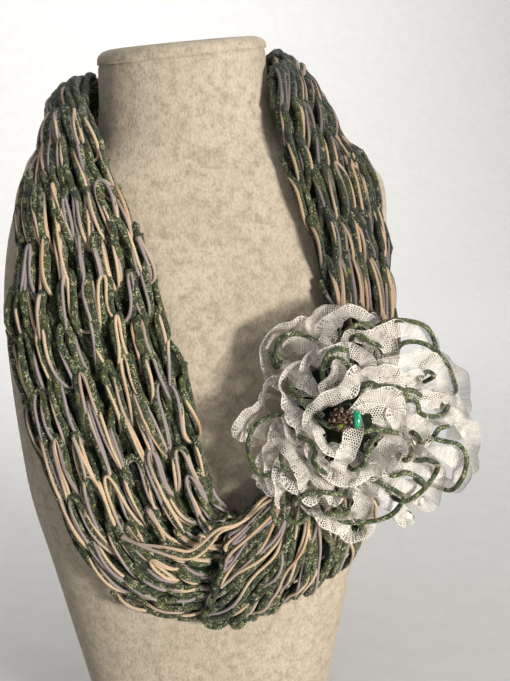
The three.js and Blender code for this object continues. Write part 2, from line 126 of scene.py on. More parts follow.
class Shader:
    """A material's node tree, built by expressions."""

    def __init__(self, name: str) -> None:
        """Makes an empty material.

        Args:
            name: the material's name.
        """
        self.material = bpy.data.materials.new(name)
        self.material.use_nodes = True
        self.tree = self.material.node_tree
        self.tree.nodes.clear()

    def node(
        self, kind: str, settings: dict[str, Any], inputs: dict[str | int, Any], output: str | int = 0
    ) -> Link:
        """Adds a node.

        Args:
            kind: the node's type.
            settings: its properties, which are set first.
            inputs: values or links for its sockets, by name or place.
            output: the socket that the result wraps.

        Returns:
            The wrapped output.
        """
        made = self.tree.nodes.new(kind)
        for key, value in settings.items():
            setattr(made, key, value)
        for key, value in inputs.items():
            if isinstance(value, Link):
                self.tree.links.new(value.socket, made.inputs[key])
            elif isinstance(value, tuple) and len(value) == 3 and made.inputs[key].type == "RGBA":
                made.inputs[key].default_value = (*value, 1.0)
            else:
                made.inputs[key].default_value = value
        return Link(self, made.outputs[output])

    def place(self) -> Link:
        """The point on the surface, in the object's own metres."""
        return self.node("ShaderNodeTexCoord", {}, {}, "Object")

    def uv(self, name: str) -> tuple[Link, Link]:
        """The two values of a UV map, such as the way along and the way round a yarn.

        Args:
            name: the map's name.

        Returns:
            The two values.
        """
        link = self.node("ShaderNodeUVMap", {"uv_map": name}, {})
        split = self.node("ShaderNodeSeparateXYZ", {}, {0: link})
        return split, Link(self, split.socket.node.outputs[1])

    def vector(self, x: Link | float, y: Link | float, z: Link | float = 0.0) -> Link:
        """A vector of three values."""
        return self.node("ShaderNodeCombineXYZ", {}, {0: x, 1: y, 2: z})

    def scaled(self, vector: Link, scale: Triple) -> Link:
        """A vector times another, axis by axis."""
        return self.node("ShaderNodeVectorMath", {"operation": "MULTIPLY"}, {0: vector, 1: scale})

    def twist(self, plies: float) -> Link:
        """The relief of two plies, from 0 to 1, by how many turns they take in a metre."""
        along, round_ = self.uv(YARN_MAP)
        return (along * (plies * TURN) + round_ * (2 * TURN)).sine() * 0.5 + 0.5

    def noise(self, vector: Link, grain: Grain) -> Link:
        """Soft noise from 0 to 1, read at a vector."""
        values = {"Scale": grain.scale, "Detail": grain.detail, "Roughness": grain.roughness}
        return self.node("ShaderNodeTexNoise", {}, {"Vector": vector, **values})

    def mix(self, factor: Link | float, first: Link | Colour, second: Link | Colour) -> Link:
        """A colour between two.

        Args:
            factor: 0 for the first and 1 for the second.
            first: a colour.
            second: another.

        Returns:
            The mixed colour.
        """
        return self.node("ShaderNodeMix", {"data_type": "RGBA"}, {0: factor, 6: first, 7: second}, 2)

    def bump(self, height: Link, distance: float, strength: float = 1.0) -> Link:
        """A normal from a height.

        Args:
            height: the relief, from 0 to 1.
            distance: its depth in metres.
            strength: how much of it shows.

        Returns:
            The normal.
        """
        inputs = {"Height": height, "Distance": distance, "Strength": strength}
        return self.node("ShaderNodeBump", {}, inputs)

    def surface(self, inputs: dict[str | int, Any]) -> bpy.types.Material:
        """Ends the tree with one Principled surface.

        Args:
            inputs: values or links for its sockets.

        Returns:
            The material.
        """
        shade = self.node("ShaderNodeBsdfPrincipled", {}, inputs)
        end = self.tree.nodes.new("ShaderNodeOutputMaterial")
        self.tree.links.new(shade.socket, end.inputs["Surface"])
        return self.material


# Finishes


@dataclass(frozen=True)
class Velvet:
    """Crushed velvet: a short nap that leans in patches, with fine hairs between."""

    light: Colour = (0.60, 0.52, 0.405)
    shade: Colour = (0.33, 0.28, 0.21)
    patches: Grain = Grain(210.0, 4.0, 0.65, span=(0.30, 0.62))
    hairs: Grain = Grain(900.0, 3.0, 0.7, span=(0.36, 0.60))
    upright: Triple = (1.0, 1.0, 0.6)  # scale of the hairs along each axis
    dull: Grain = Grain(26.0, span=(0.35, 0.7))
    dulling: float = 0.22  # how much darker the dull places are
    relief: float = 0.0011  # metres

    def material(self) -> bpy.types.Material:
        """Makes the finish.

        Returns:
            The material.
        """
        shader = Shader("crushed_velvet")
        place = shader.place()
        patch = shader.noise(place, self.patches)
        nap = shader.noise(shader.scaled(place, self.upright), self.hairs)
        dull = shader.noise(place, self.dull).between(*self.dull.span)
        crushed = patch.between(*self.patches.span) * 0.6 + nap.between(*self.hairs.span) * 0.4
        return shader.surface({
            "Base Color": shader.mix(crushed * (1 - dull * self.dulling), self.shade, self.light),
            "Roughness": 0.85,
            "Specular IOR Level": 0.2,
            "Sheen Weight": 0.25,
            "Sheen Roughness": 0.5,
            "Sheen Tint": (0.9, 0.82, 0.66, 1.0),
            "Normal": shader.bump(nap * 0.5 + patch * 0.5, self.relief, 0.8),
        })


@dataclass(frozen=True)
class GlitterYarn:
    """Thick plied yarn in dark greens, with flecks of tinsel all over it."""

    name: str
    deep: Colour = (0.004, 0.009, 0.005)
    green: Colour = (0.020, 0.038, 0.018)
    olive: Colour = (0.062, 0.068, 0.016)
    bright: Colour = (0.30, 0.34, 0.01)
    pale: Colour = (0.60, 0.62, 0.36)  # of the tinsel
    lime: Colour = (0.17, 0.19, 0.03)
    plies: float = 160.0  # turns to a metre
    wool: Grain = Grain(700.0, 4.0, 0.75, span=(0.45, 0.6))
    groove_shade_heights: tuple[float, float] = (0.38, 0.62)  # heights that give the deep and the full colour
    olive_dye: Grain = Grain(70.0, 2.0, 0.55, span=(0.48, 0.64))
    bright_dye: Grain = Grain(130.0, span=(0.71, 0.75))
    flecks: Grain = Grain(1350.0, 2.0, 0.7)
    shown: float = 0.485  # where the flecks start, from 0.5 for half of the yarn to 0.7 for none
    fleck_edge: float = 0.12  # how softly they start
    patches: Grain = Grain(260.0, 3.0, 0.6, span=(0.32, 0.58))  # where the flecks lie
    tints: Grain = Grain(420.0, 0.0, span=(0.42, 0.60))
    relief: float = 0.0018  # metres

    def material(self) -> bpy.types.Material:
        """Makes the finish.

        Returns:
            The material.
        """
        shader = Shader(self.name)
        place = shader.place()
        twist = shader.twist(self.plies)
        wool = shader.noise(place, self.wool)
        # The deep colour fills the low places of the ply and fibre relief: painted shade in the grooves, over
        # the fibres' own chance tone.
        depth = (twist * 0.35 + wool * 0.65).between(*self.groove_shade_heights)
        dye = shader.noise(place, self.olive_dye).between(*self.olive_dye.span)
        bright = shader.noise(place, self.bright_dye).between(*self.bright_dye.span)
        body = shader.mix(depth, self.deep, self.green)
        body = shader.mix(dye * 0.6, body, self.olive)
        body = shader.mix(bright * wool.between(*self.wool.span), body, self.bright)
        glint = shader.noise(place, self.flecks).between(self.shown, self.shown + self.fleck_edge)
        tinsel = glint * shader.noise(place, self.patches).between(*self.patches.span)
        tint = shader.noise(place, self.tints).between(*self.tints.span)
        return shader.surface({
            "Base Color": shader.mix(tinsel, body, shader.mix(tint, self.pale, self.lime)),
            "Roughness": 0.75 - tinsel * 0.4,
            "Specular IOR Level": 0.3,
            "Sheen Weight": 0.15,
            "Sheen Roughness": 0.6,
            "Normal": shader.bump(twist * 0.3 + wool * 0.7, self.relief, 1.0),
        })


@dataclass(frozen=True)
class ThinStrand:
    """The thin smooth strand, dyed from cream and peach to lilac grey along its length."""

    name: str = "variegated_strand"
    cream: Colour = (0.66, 0.50, 0.33)
    peach: Colour = (0.55, 0.35, 0.20)
    lilac: Colour = (0.33, 0.275, 0.285)
    # Painted shade, for the low places of the strand's ply and fibre relief.
    groove_shade: Colour = (0.12, 0.085, 0.07)
    lilac_dye: Grain = Grain(9.0, 1.0, span=(0.46, 0.54))  # along the strand
    peach_dye: Grain = Grain(21.0, 1.0, span=(0.52, 0.68))
    plies: float = 620.0  # turns to a metre
    fibre: Grain = Grain(1300.0, 3.0, 0.65, span=(0.25, 0.55))
    least_unshaded: float = 0.7  # the least of its own colour
    relief: float = 0.0003  # metres

    def dyed(self, shader: Shader, along: Link, dye: Grain, start: float) -> Link:
        """A dye that changes along the strand only, read from a start of its own."""
        place = shader.vector(along * dye.scale, start, 0.0)
        return shader.noise(place, dye._replace(scale=1.0)).between(*dye.span)

    def material(self) -> bpy.types.Material:
        """Makes the finish.

        Returns:
            The material.
        """
        shader = Shader(self.name)
        along = shader.uv(YARN_MAP)[0]
        light = shader.mix(self.dyed(shader, along, self.peach_dye, 4.0), self.cream, self.peach)
        colour = shader.mix(self.dyed(shader, along, self.lilac_dye, 0.0), light, self.lilac)
        fibre = shader.noise(shader.place(), self.fibre)
        twist = shader.twist(self.plies)
        # Its own colour where the ply and fibre relief is high, darkened toward the painted groove shade
        # where it is low.
        worn_and_unshaded = (twist * 0.25 + fibre * 0.75).between(*self.fibre.span) * (1 - self.least_unshaded) + self.least_unshaded
        return shader.surface({
            "Base Color": shader.mix(worn_and_unshaded, self.groove_shade, colour),
            "Roughness": 0.7,
            "Specular IOR Level": 0.3,
            "Sheen Weight": 0.2,
            "Normal": shader.bump(twist * 0.3 + fibre * 0.7, self.relief, 0.6),
        })


@dataclass(frozen=True)
class KnitGround:
    """The shadowed backs of the stitches, seen between the yarns."""

    deep: Colour = (0.008, 0.014, 0.009)
    # Lighter than the yarn's own green: painted light in the shaded gaps between the yarns.
    green: Colour = (0.034, 0.054, 0.026)
    loops: Grain = Grain(260.0, 3.0, 0.6, span=(0.35, 0.7))
    wool: Grain = Grain(1200.0, 2.0, 0.6)
    relief: float = 0.0015  # metres

    def material(self) -> bpy.types.Material:
        """Makes the finish.

        Returns:
            The material.
        """
        shader = Shader("knit_ground")
        place = shader.place()
        loops = shader.noise(place, self.loops)
        height = loops * 0.6 + shader.noise(place, self.wool) * 0.4
        return shader.surface({
            # Darker where the loops' relief is low: painted shade in its hollows, over the wool's own chance
            # tone.
            "Base Color": shader.mix(height.between(*self.loops.span), self.deep, self.green),
            "Roughness": 0.95,
            "Specular IOR Level": 0.1,
            "Normal": shader.bump(loops, self.relief, 1.0),
        })


@dataclass(frozen=True)
class NetRibbon:
    """Soft knitted net in warm white, with painted shade in a lattice round its holes."""

    light: Colour = (0.92, 0.87, 0.81)
    shade: Colour = (0.50, 0.45, 0.40)
    mesh: float = 800.0  # knots to a metre
    soft: Grain = Grain(160.0, 3.0, 0.6, span=(0.36, 0.62))
    thread: Grain = Grain(2400.0, 1.0, 0.5)
    relief: float = 0.0003  # metres

    def material(self) -> bpy.types.Material:
        """Makes the finish.

        Returns:
            The material.
        """
        shader = Shader("net_ribbon")
        place = shader.place()
        along, across = shader.uv(YARN_MAP)
        # A lattice of painted shade round the net's holes, lighter at the knots between them.
        knots = (along * (self.mesh * TURN)).sine() * (across * (self.mesh * TURN)).sine()
        thread = shader.noise(place, self.thread)
        bright = shader.noise(place, self.soft) * 0.5 + thread * 0.3 + (knots * 0.5 + 0.5) * 0.3
        return shader.surface({
            "Base Color": shader.mix(bright.between(*self.soft.span), self.shade, self.light),
            "Roughness": 0.75,
            "Specular IOR Level": 0.2,
            "Sheen Weight": 0.1,
            "Normal": shader.bump(thread, self.relief, 0.7),
        })


@dataclass(frozen=True)
class Bronze:
    """Aged bronze filigree, its bright worn places among dark ones."""

    worn_and_unshaded: Colour = (0.46, 0.33, 0.25)
    dark: Colour = (0.035, 0.022, 0.016)
    age: Grain = Grain(900.0, 3.0, 0.6, span=(0.42, 0.62))
    relief: float = 0.0002  # metres

    def material(self) -> bpy.types.Material:
        """Makes the finish.

        Returns:
            The material.
        """
        shader = Shader("aged_bronze")
        age = shader.noise(shader.place(), self.age)
        return shader.surface({
            "Base Color": shader.mix(age.between(*self.age.span), self.dark, self.worn_and_unshaded),
            "Metallic": 0.95,
            "Roughness": 0.52 - age * 0.3,
            "Normal": shader.bump(age, self.relief, 0.4),
        })


@dataclass(frozen=True)
class BeadGlass:
    """Cloudy polished glass."""

    name: str
    body: Colour
    streak: Colour
    cloud: Grain = Grain(520.0, 2.0, 0.6, span=(0.45, 0.7))
    drawn: Triple = (1.0, 1.0, 0.3)  # scale of the clouds along each axis

    def material(self) -> bpy.types.Material:
        """Makes the finish.

        Returns:
            The material.
        """
        shader = Shader(self.name)
        cloud = shader.noise(shader.scaled(shader.place(), self.drawn), self.cloud)
        return shader.surface({
            "Base Color": shader.mix(cloud.between(*self.cloud.span), self.body, self.streak),
            "Roughness": 0.12,
            "Coat Weight": 0.6,
            "Coat Roughness": 0.05,
        })


@dataclass(frozen=True)
class Backdrop:
    """A plain pale floor and wall."""

    pale: Colour = (0.58, 0.57, 0.56)
    darker: float = 0.96  # the grain's dark places, to the pale ones
    grain: Grain = Grain(60.0, 3.0, 0.5, span=(0.3, 0.7))

    def material(self) -> bpy.types.Material:
        """Makes the finish.

        Returns:
            The material.
        """
        shader = Shader("pale_floor")
        grain = shader.noise(shader.place(), self.grain).between(*self.grain.span)
        dark = tuple(value * self.darker for value in self.pale)
        return shader.surface({
            "Base Color": shader.mix(grain, dark, self.pale),
            "Roughness": 0.9,
        })


SCARF_YARN = GlitterYarn("glitter_yarn")
# A copy of the glitter yarn for the layer below, with lighter greens as painted light where that layer lies
# in shade, and fewer flecks.
UNDER_YARN_PAINTED_LIGHT = GlitterYarn(
    "glitter_yarn_under_painted_light", deep=(0.006, 0.012, 0.007), green=(0.028, 0.048, 0.022), shown=0.52
)
DARK_YARN = GlitterYarn("glitter_yarn_dark", green=(0.011, 0.020, 0.009), shown=0.56)
FLOWER_YARN = GlitterYarn(
    "flower_yarn",
    deep=(0.008, 0.018, 0.010),
    green=(0.032, 0.064, 0.032),
    olive=(0.085, 0.105, 0.045),
    shown=0.48,
)
DARK_STRAND = ThinStrand(
    "variegated_strand_dark",
    cream=(0.46, 0.33, 0.215),
    peach=(0.33, 0.20, 0.13),
    lilac=(0.17, 0.14, 0.15),
)
# The heart's darker greens are painted shade, for the dark gaps between the flower's loops.
FLOWER_HEART_PAINTED_SHADE = KnitGround(green=(0.03, 0.035, 0.02))
OLIVE_CRYSTAL = BeadGlass("olive_crystal", body=(0.10, 0.16, 0.01), streak=(0.55, 0.62, 0.08))
GREEN_GLASS = BeadGlass("green_glass", body=(0.0, 0.26, 0.12), streak=(0.10, 0.50, 0.28))


# Meshes

YARN_MAP = "Yarn"  # metres along a yarn or ribbon, and turns round it or metres across
BAKE_MAP = "OFBake"  # each strip in a place of its own


def grid_faces(rows: int, columns: int, closed: bool = False) -> tuple[Faces, Faces, Faces]:
    """The faces of a grid of points.

    Args:
        rows: how many rows of points there are.
        columns: how many points a row has.
        closed: whether each row is a ring.

    Returns:
        The four points of each face, and the row and the column of each of these. The column
        after a ring's last one is counted on, so that a map has no seam in a face.
    """
    row, column = np.indices((rows - 1, columns - (not closed))).reshape(2, -1)
    row = np.stack([row, row, row + 1, row + 1], 1)
    column = np.stack([column, column + 1, column + 1, column], 1)
    return row * columns + column % columns, row, column


@dataclass
class Strips:
    """Faces gathered for one mesh, in strips that each take a row of the bake map."""

    points: list[Array] = field(default_factory=list)
    faces: list[Faces] = field(default_factory=list)
    maps: list[Array] = field(default_factory=list)
    rows: list[int] = field(default_factory=list)
    first: int = 0  # the first point of the last block

    def add(self, points: Array, faces: Faces, corners: Array, new_row: bool = True) -> None:
        """Adds a block of points and faces of equally many corners.

        Args:
            points: the block's points.
            faces: rows of indices into those points.
            corners: for each face's corners, the way along and the way round or across.
            new_row: whether the block starts a row of the bake map, or shares the last one.
        """
        self.first = sum(len(block) for block in self.points)
        self.points.append(points)
        self.cover(faces, corners, new_row)

    def cover(self, faces: Faces, corners: Array, new_row: bool = False) -> None:
        """Adds more faces over the last block's points.

        Args:
            faces: rows of indices into those points.
            corners: the map's values at each face's corners.
            new_row: whether they start a row of the bake map.
        """
        if new_row or not self.rows:
            self.rows.append(len(self.faces))
        self.faces.append(faces + self.first)
        self.maps.append(corners)

    def wrap(self, rings: Array, way: Array, round_first: bool = True) -> None:
        """Adds a skin over rings of points, with a flat face over each end.

        Args:
            rings: the points, ring by ring.
            way: each ring's place along the skin.
            round_first: whether the map's first value is the way round, and not the way along.
        """
        count, sides = rings.shape[:2]
        order = 1 if round_first else -1
        faces, row, column = grid_faces(count, sides, closed=True)
        self.add(rings.reshape(-1, 3), faces, np.stack([column / sides, way[row]][::order], 2))
        for end, turn in ((0, -1), (count - 1, 1)):
            cap = (end * sides + np.arange(sides))[None, ::turn]
            self.cover(cap, np.tile([0.5, way[end]][::order], (1, sides, 1)))

    def baked(self) -> Array:
        """Lays each row's strip across the bake map's square, one above another.

        Returns:
            The map's values at every face's corners.
        """
        ends = [*self.rows[1:], len(self.faces)]
        height = 1.0 / len(self.rows)
        out = []
        for row, (start, end) in enumerate(zip(self.rows, ends)):
            flat = [corners.reshape(-1, 2) for corners in self.maps[start:end]]
            every = np.concatenate(flat)
            low, size = every.min(0), np.maximum(np.ptp(every, axis=0), 1e-6)
            placed = (every - low) / size
            out.append(placed * [0.98, 0.84 * height] + [0.01, (row + 0.08) * height])
        return np.concatenate(out)

    def build(self, name: str, material: bpy.types.Material, smooth: bool = True) -> bpy.types.Object:
        """Makes the object.

        Args:
            name: its name.
            material: its finish.
            smooth: whether its faces are shaded as one surface.

        Returns:
            The object, riding on the part's body.
        """
        mesh = bpy.data.meshes.new(name)
        points = np.concatenate(self.points)
        totals = np.concatenate([np.full(len(block), block.shape[1]) for block in self.faces])
        corners = np.concatenate([block.ravel() for block in self.faces])
        mesh.vertices.add(len(points))
        mesh.vertices.foreach_set("co", points.astype(np.float32).ravel())
        mesh.loops.add(len(corners))
        mesh.loops.foreach_set("vertex_index", corners.astype(np.int32))
        mesh.polygons.add(len(totals))
        starts = np.concatenate([[0], np.cumsum(totals)[:-1]])
        mesh.polygons.foreach_set("loop_start", starts.astype(np.int32))
        mesh.polygons.foreach_set("use_smooth", np.full(len(totals), smooth))
        mesh.update(calc_edges=True)
        yarn_map = np.concatenate([corners.reshape(-1, 2) for corners in self.maps])
        uvs = {YARN_MAP: yarn_map, BAKE_MAP: self.baked()}
        for layer, values in uvs.items():
            mesh.uv_layers.new(name=layer).data.foreach_set("uv", values.astype(np.float32).ravel())
        mesh.materials.append(material)
        made = bpy.data.objects.new(name, mesh)
        bpy.context.scene.collection.objects.link(made)
        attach(made, BODY)
        log.info("%s: %d faces", name, len(totals))
        return made


def lengths(path: Array) -> Array:
    """The distance along a path at each of its points."""
    return np.concatenate([[0.0], np.cumsum(np.linalg.norm(np.diff(path, axis=0), axis=1))])


def unit(vectors: Array) -> Array:
    """Vectors of length 1."""
    return vectors / np.maximum(np.linalg.norm(vectors, axis=-1, keepdims=True), 1e-12)


def tangents(path: Array) -> Array:
    """The directions of a path at its points."""
    return unit(np.gradient(path, axis=0))


def carried(path: Array, start: Array) -> Array:
    """Sideways directions that turn as little as they can along a path.

    Args:
        path: the points.
        start: a direction that the first one is near.

    Returns:
        A unit direction at each point, square to the path.
    """
    along = tangents(path)
    side = start - along[0] * (start @ along[0])
    sides = np.empty_like(path)
    for i, tangent in enumerate(along):
        side = side - tangent * (side @ tangent)
        side = side / math.sqrt(side @ side)
        sides[i] = side
    return sides


def square_to(vectors: Array, along: Array) -> Array:
    """Unit vectors with the part along other unit vectors taken out."""
    return unit(vectors - along * np.sum(vectors * along, 1, keepdims=True))


def smooth_path(points: Sequence[Sequence[float]] | Array, steps: int) -> Array:
    """A curve through points, with a number of steps to each span."""
    knots = np.asarray(points, float)
    return curve(knots, np.linspace(0, len(knots) - 1, (len(knots) - 1) * steps + 1))


def curve(knots: Array, at: Array) -> Array:
    """A centripetal Catmull-Rom curve through knots.

    Args:
        knots: the points.
        at: places along it, in knots.

    Returns:
        The curve's points at those places.
    """
    last = len(knots) - 1
    at = np.clip(at, 0, last)
    low = np.minimum(at.astype(int), last - 1)
    t = (at - low)[..., None]
    ends = np.vstack([2 * knots[0] - knots[1], knots, 2 * knots[-1] - knots[-2]])
    p0, p1, p2, p3 = (ends[low + i] for i in range(4))
    d0, d1, d2 = (
        np.maximum(np.sqrt(np.linalg.norm(b - a, axis=-1, keepdims=True)), 1e-6)
        for a, b in ((p0, p1), (p1, p2), (p2, p3))
    )
    m1 = ((p1 - p0) / d0 - (p2 - p0) / (d0 + d1) + (p2 - p1) / d1) * d1
    m2 = ((p2 - p1) / d1 - (p3 - p1) / (d1 + d2) + (p3 - p2) / d2) * d1
    return p1 + m1 * t + (3 * (p2 - p1) - 2 * m1 - m2) * t**2 + (2 * (p1 - p2) + m1 + m2) * t**3


def add_tube(
    strips: Strips, path: Array, radius: Array | float, sides: int, offset: float = 0.0
) -> None:
    """Adds a round yarn along a path, closed at both ends.

    Args:
        strips: the mesh that it joins.
        path: its middle line.
        radius: its radius, all along or at each point.
        sides: how many sides it has.
        offset: metres added to its way along, so that no two yarns are dyed alike.
    """
    side = carried(path, np.array([0.31, 0.2, 0.93]))
    other = np.cross(tangents(path), side)
    angle = np.linspace(0, TURN, sides, endpoint=False)[None, :, None]
    thick = np.broadcast_to(np.asarray(radius, float), (len(path),))[:, None, None]
    ring = side[:, None] * np.cos(angle) + other[:, None] * np.sin(angle)
    strips.wrap(path[:, None] + ring * thick, lengths(path) + offset, round_first=False)


def eased(path: Array, reach: int) -> Array:
    """A path with its corners cut, by averages over its neighbouring points.

    Args:
        path: the points.
        reach: how many neighbours to each side count.

    Returns:
        The eased points.
    """
    weights = np.hanning(2 * reach + 3)[1:-1]
    padded = np.pad(path, ((reach, reach), (0, 0)), mode="edge")
    return np.stack([np.convolve(column, weights / weights.sum(), "valid") for column in padded.T], 1)


class Stray(NamedTuple):
    """A smooth random value along a line."""

    step: float  # how far apart its turns are
    size: float  # how large it gets

    def draw(self, rng: np.random.Generator, at: Array) -> Array:
        """Draws it.

        Args:
            rng: the source of chance.
            at: the places where it is wanted.

        Returns:
            The value at each place.
        """
        low = float(at.min()) - self.step
        knots = np.arange(low, float(at.max()) + 3 * self.step, self.step)
        values = rng.uniform(-self.size, self.size, len(knots))
        return curve(values[:, None], (at - low) / self.step)[:, 0]


YARN_SIDES = 9
DYE_START = 9.0  # metres, the farthest way along the dye at which a yarn starts

# The bust

FRONT_POWER = 2.3  # squareness of the bust's section in front, where 2 is an ellipse
BACK_POWER = 3.6  # and behind


class BustSection(NamedTuple):
    """The bust's half widths to the left and right and depths to the front and back, at a height."""

    z: float
    left: float
    right: float
    front: float
    back: float
    slope: float = 0.0  # how far it rises to the right, for each millimetre


BUST_SECTIONS = [
    BustSection(0, 62, 65, 42, 38),
    BustSection(31, 67, 71, 44, 36),
    BustSection(70, 75, 79, 47, 34),
    BustSection(108, 83, 86, 49, 33),
    BustSection(150, 92, 93, 51, 32),
    BustSection(180, 95, 97, 52, 31),
    BustSection(213, 97, 101, 52, 31),
    BustSection(235, 97.5, 103, 51, 31),
    BustSection(260, 97, 105, 50, 31),
    BustSection(290, 92, 105, 47, 32),
    BustSection(304, 87, 104.5, 45, 33),
    BustSection(313, 80, 101.5, 43, 34),
    BustSection(320, 70, 93, 42, 34),
    BustSection(326, 58, 80, 41, 35),
    BustSection(332, 49, 60, 40, 35),
    BustSection(340, 44.5, 49, 39, 36, slope=0.02),
    BustSection(354, 42.5, 44, 38.5, 36, slope=0.06),
    BustSection(374.4, 41.5, 42, 38, 36.5, slope=0.075),
    BustSection(375.2, 41, 41.6, 37.5, 36.1, slope=0.075),
    BustSection(376, 42, 42.8, 38.5, 37, slope=0.075),
    BustSection(379, 41.6, 42.2, 38, 36.6, slope=0.07),
    BustSection(381, 39.6, 40, 36, 34.6, slope=0.065),
    BustSection(382, 36.5, 37, 33, 31.6, slope=0.065),
]


@dataclass
class Bust:
    """The display bust, smooth, with a capped neck."""

    sections: Sequence[BustSection] = tuple(BUST_SECTIONS)
    around: int = 144
    rows_between: int = 7

    def outside(self, points: Array, clearance: Array) -> NDArray[np.bool_]:
        """Which points are outside the bust by a clearance.

        Args:
            points: places in millimetres.
            clearance: the distance for each.

        Returns:
            True for each point that is.
        """
        table = np.array(self.sections)
        columns = table[:, 1:5].T
        left, right, front, back = (np.interp(points[..., 2], table[:, 0], column) for column in columns)
        x, y = points[..., 0], points[..., 1]
        width = np.where(x > 0, right, left) + clearance
        depth = np.where(y > 0, back, front) + clearance
        power = np.where(y > 0, BACK_POWER, FRONT_POWER)
        return (np.abs(x) / width) ** power + (np.abs(y) / depth) ** power >= 1

    def ring(self, section: Array) -> Array:
        """The points round the bust at a section.

        Args:
            section: a row of the table, or one between two of them.

        Returns:
            The points, anticlockwise from above.
        """
        z, left, right, front, back, slope = section
        angle = np.linspace(0, TURN, self.around, endpoint=False)
        cos, sin = np.cos(angle), np.sin(angle)
        power = 2 / np.where(sin > 0, BACK_POWER, FRONT_POWER)
        x = np.sign(cos) * np.abs(cos) ** power * np.where(cos > 0, right, left)
        y = np.sign(sin) * np.abs(sin) ** power * np.where(sin > 0, back, front)
        return np.stack([x, y, z + slope * x], 1)

    def build(self) -> bpy.types.Object:
        """Makes the bust.

        Returns:
            The object, in place of its solid.
        """
        table = np.array(self.sections)
        rows = curve(table, np.linspace(0, len(table) - 1, (len(table) - 1) * self.rows_between + 1))
        rings = np.stack([self.ring(row) for row in rows]) * MM
        way = lengths(rings[:, 0])
        faces, row, column = grid_faces(len(rings), self.around, closed=True)
        strips = Strips()
        strips.add(rings.reshape(-1, 3), faces, np.stack([column / self.around, way[row]], 2))
        for end, turn in ((0, -1), (len(rings) - 1, 1)):
            cap = (end * self.around + np.arange(self.around))[None, ::turn]
            strips.cover(cap, rings[end, ::turn, :2][None], new_row=True)
        bust = strips.build("bust", Velvet().material())
        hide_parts("display_bust")
        return bust


# The scarf


class ScarfSection(NamedTuple):
    """A section of the scarf."""

    inner: Triple  # its edge on the neck's side
    outer: Triple
    bulge: float  # the height of its arch
    lift: float  # how far it clears the bust
    thick: float


SCARF_SECTIONS = [
    ScarfSection((14, -52, 151), (0, -50, 98), 2, 1.2, 7),
    ScarfSection((9, -52, 152), (-14, -50, 96), 2, 1.2, 8),
    ScarfSection((5, -53, 155), (-32, -48, 100), 2, 1.2, 11),
    ScarfSection((2, -54, 163), (-50, -44, 112), 3, 1.2, 13),
    ScarfSection((-2, -54, 180), (-65, -37, 136), 3, 1.2, 13),
    ScarfSection((-6, -54, 204), (-75, -34, 171), 3, 1.2, 13),
    ScarfSection((-11, -53, 230), (-82, -30, 202), 3, 1.2, 13),
    ScarfSection((-16, -52, 250), (-86, -26, 228), 4, 1.2, 13),
    ScarfSection((-20, -50, 269), (-86, -22, 254), 4, 1.2, 13),
    ScarfSection((-26, -46, 289), (-80, -22, 279), 4, 1.2, 13),
    ScarfSection((-32, -42, 309), (-75, -16, 303), 5, 1.6, 13),
    ScarfSection((-39, -34, 327), (-69, -3, 324), 5, 1.6, 13),
    ScarfSection((-44, -20, 346), (-61, 8, 341), 4, 1.6, 13),
    ScarfSection((-46, 2, 360), (-60, 26, 343), 4, 1.2, 13),
    ScarfSection((-38, 28, 361), (-52, 48, 330), 4, 1.2, 14),
    ScarfSection((-18, 39, 364), (-28, 58, 325), 4, 1.2, 14),
    ScarfSection((2, 40, 365), (2, 60, 325), 4, 1.2, 14),
    ScarfSection((22, 39, 368), (32, 58, 329), 4, 1.2, 14),
    ScarfSection((40, 28, 370), (54, 46, 339), 4, 1.2, 14),
    ScarfSection((44, 3, 369), (59, 24, 351), 4, 1.2, 13),
    ScarfSection((41, -20, 362), (60, 5, 352), 4, 1.2, 13),
    ScarfSection((41, -33, 344), (69, -5, 339), 5, 1.6, 13),
    ScarfSection((43, -40, 326), (75, -14, 322), 5, 1.6, 13),
    ScarfSection((48.5, -43, 308), (81, -19, 303), 5, 1.2, 14),
    ScarfSection((55, -45, 286), (86, -20, 276), 5, 1.2, 14),
    ScarfSection((60, -46, 258), (89, -19, 246), 5, 1.2, 14),
    ScarfSection((63, -47, 230), (93, -17, 214), 5, 1.2, 15),
    ScarfSection((61, -48, 205), (95, -18, 184), 5, 1.2, 17),
    ScarfSection((53, -50, 184), (86, -24, 156), 6, 1.2, 19),
    ScarfSection((42, -52, 171), (72, -34, 132), 7, 1.2, 21),
    ScarfSection((31, -53, 166), (57, -42, 116), 8, 1.2, 22),
    ScarfSection((22, -54, 161), (41, -46, 107), 8, 3, 21),
    ScarfSection((15, -56, 156), (25, -50, 100), 7, 8, 17),
    ScarfSection((9, -60, 151), (9, -56, 96), 4, 10, 13),
    ScarfSection((4, -61, 147), (-8, -58, 97), 2, 10, 7),
]

# How far back along the scarf a section's inner end lies in the twist, in sections.
TWIST_LEAN = [(28.4, 0.0), (30.0, 1.3), (31.7, 2.2), (33.0, 2.2), (34.0, 0.9)]


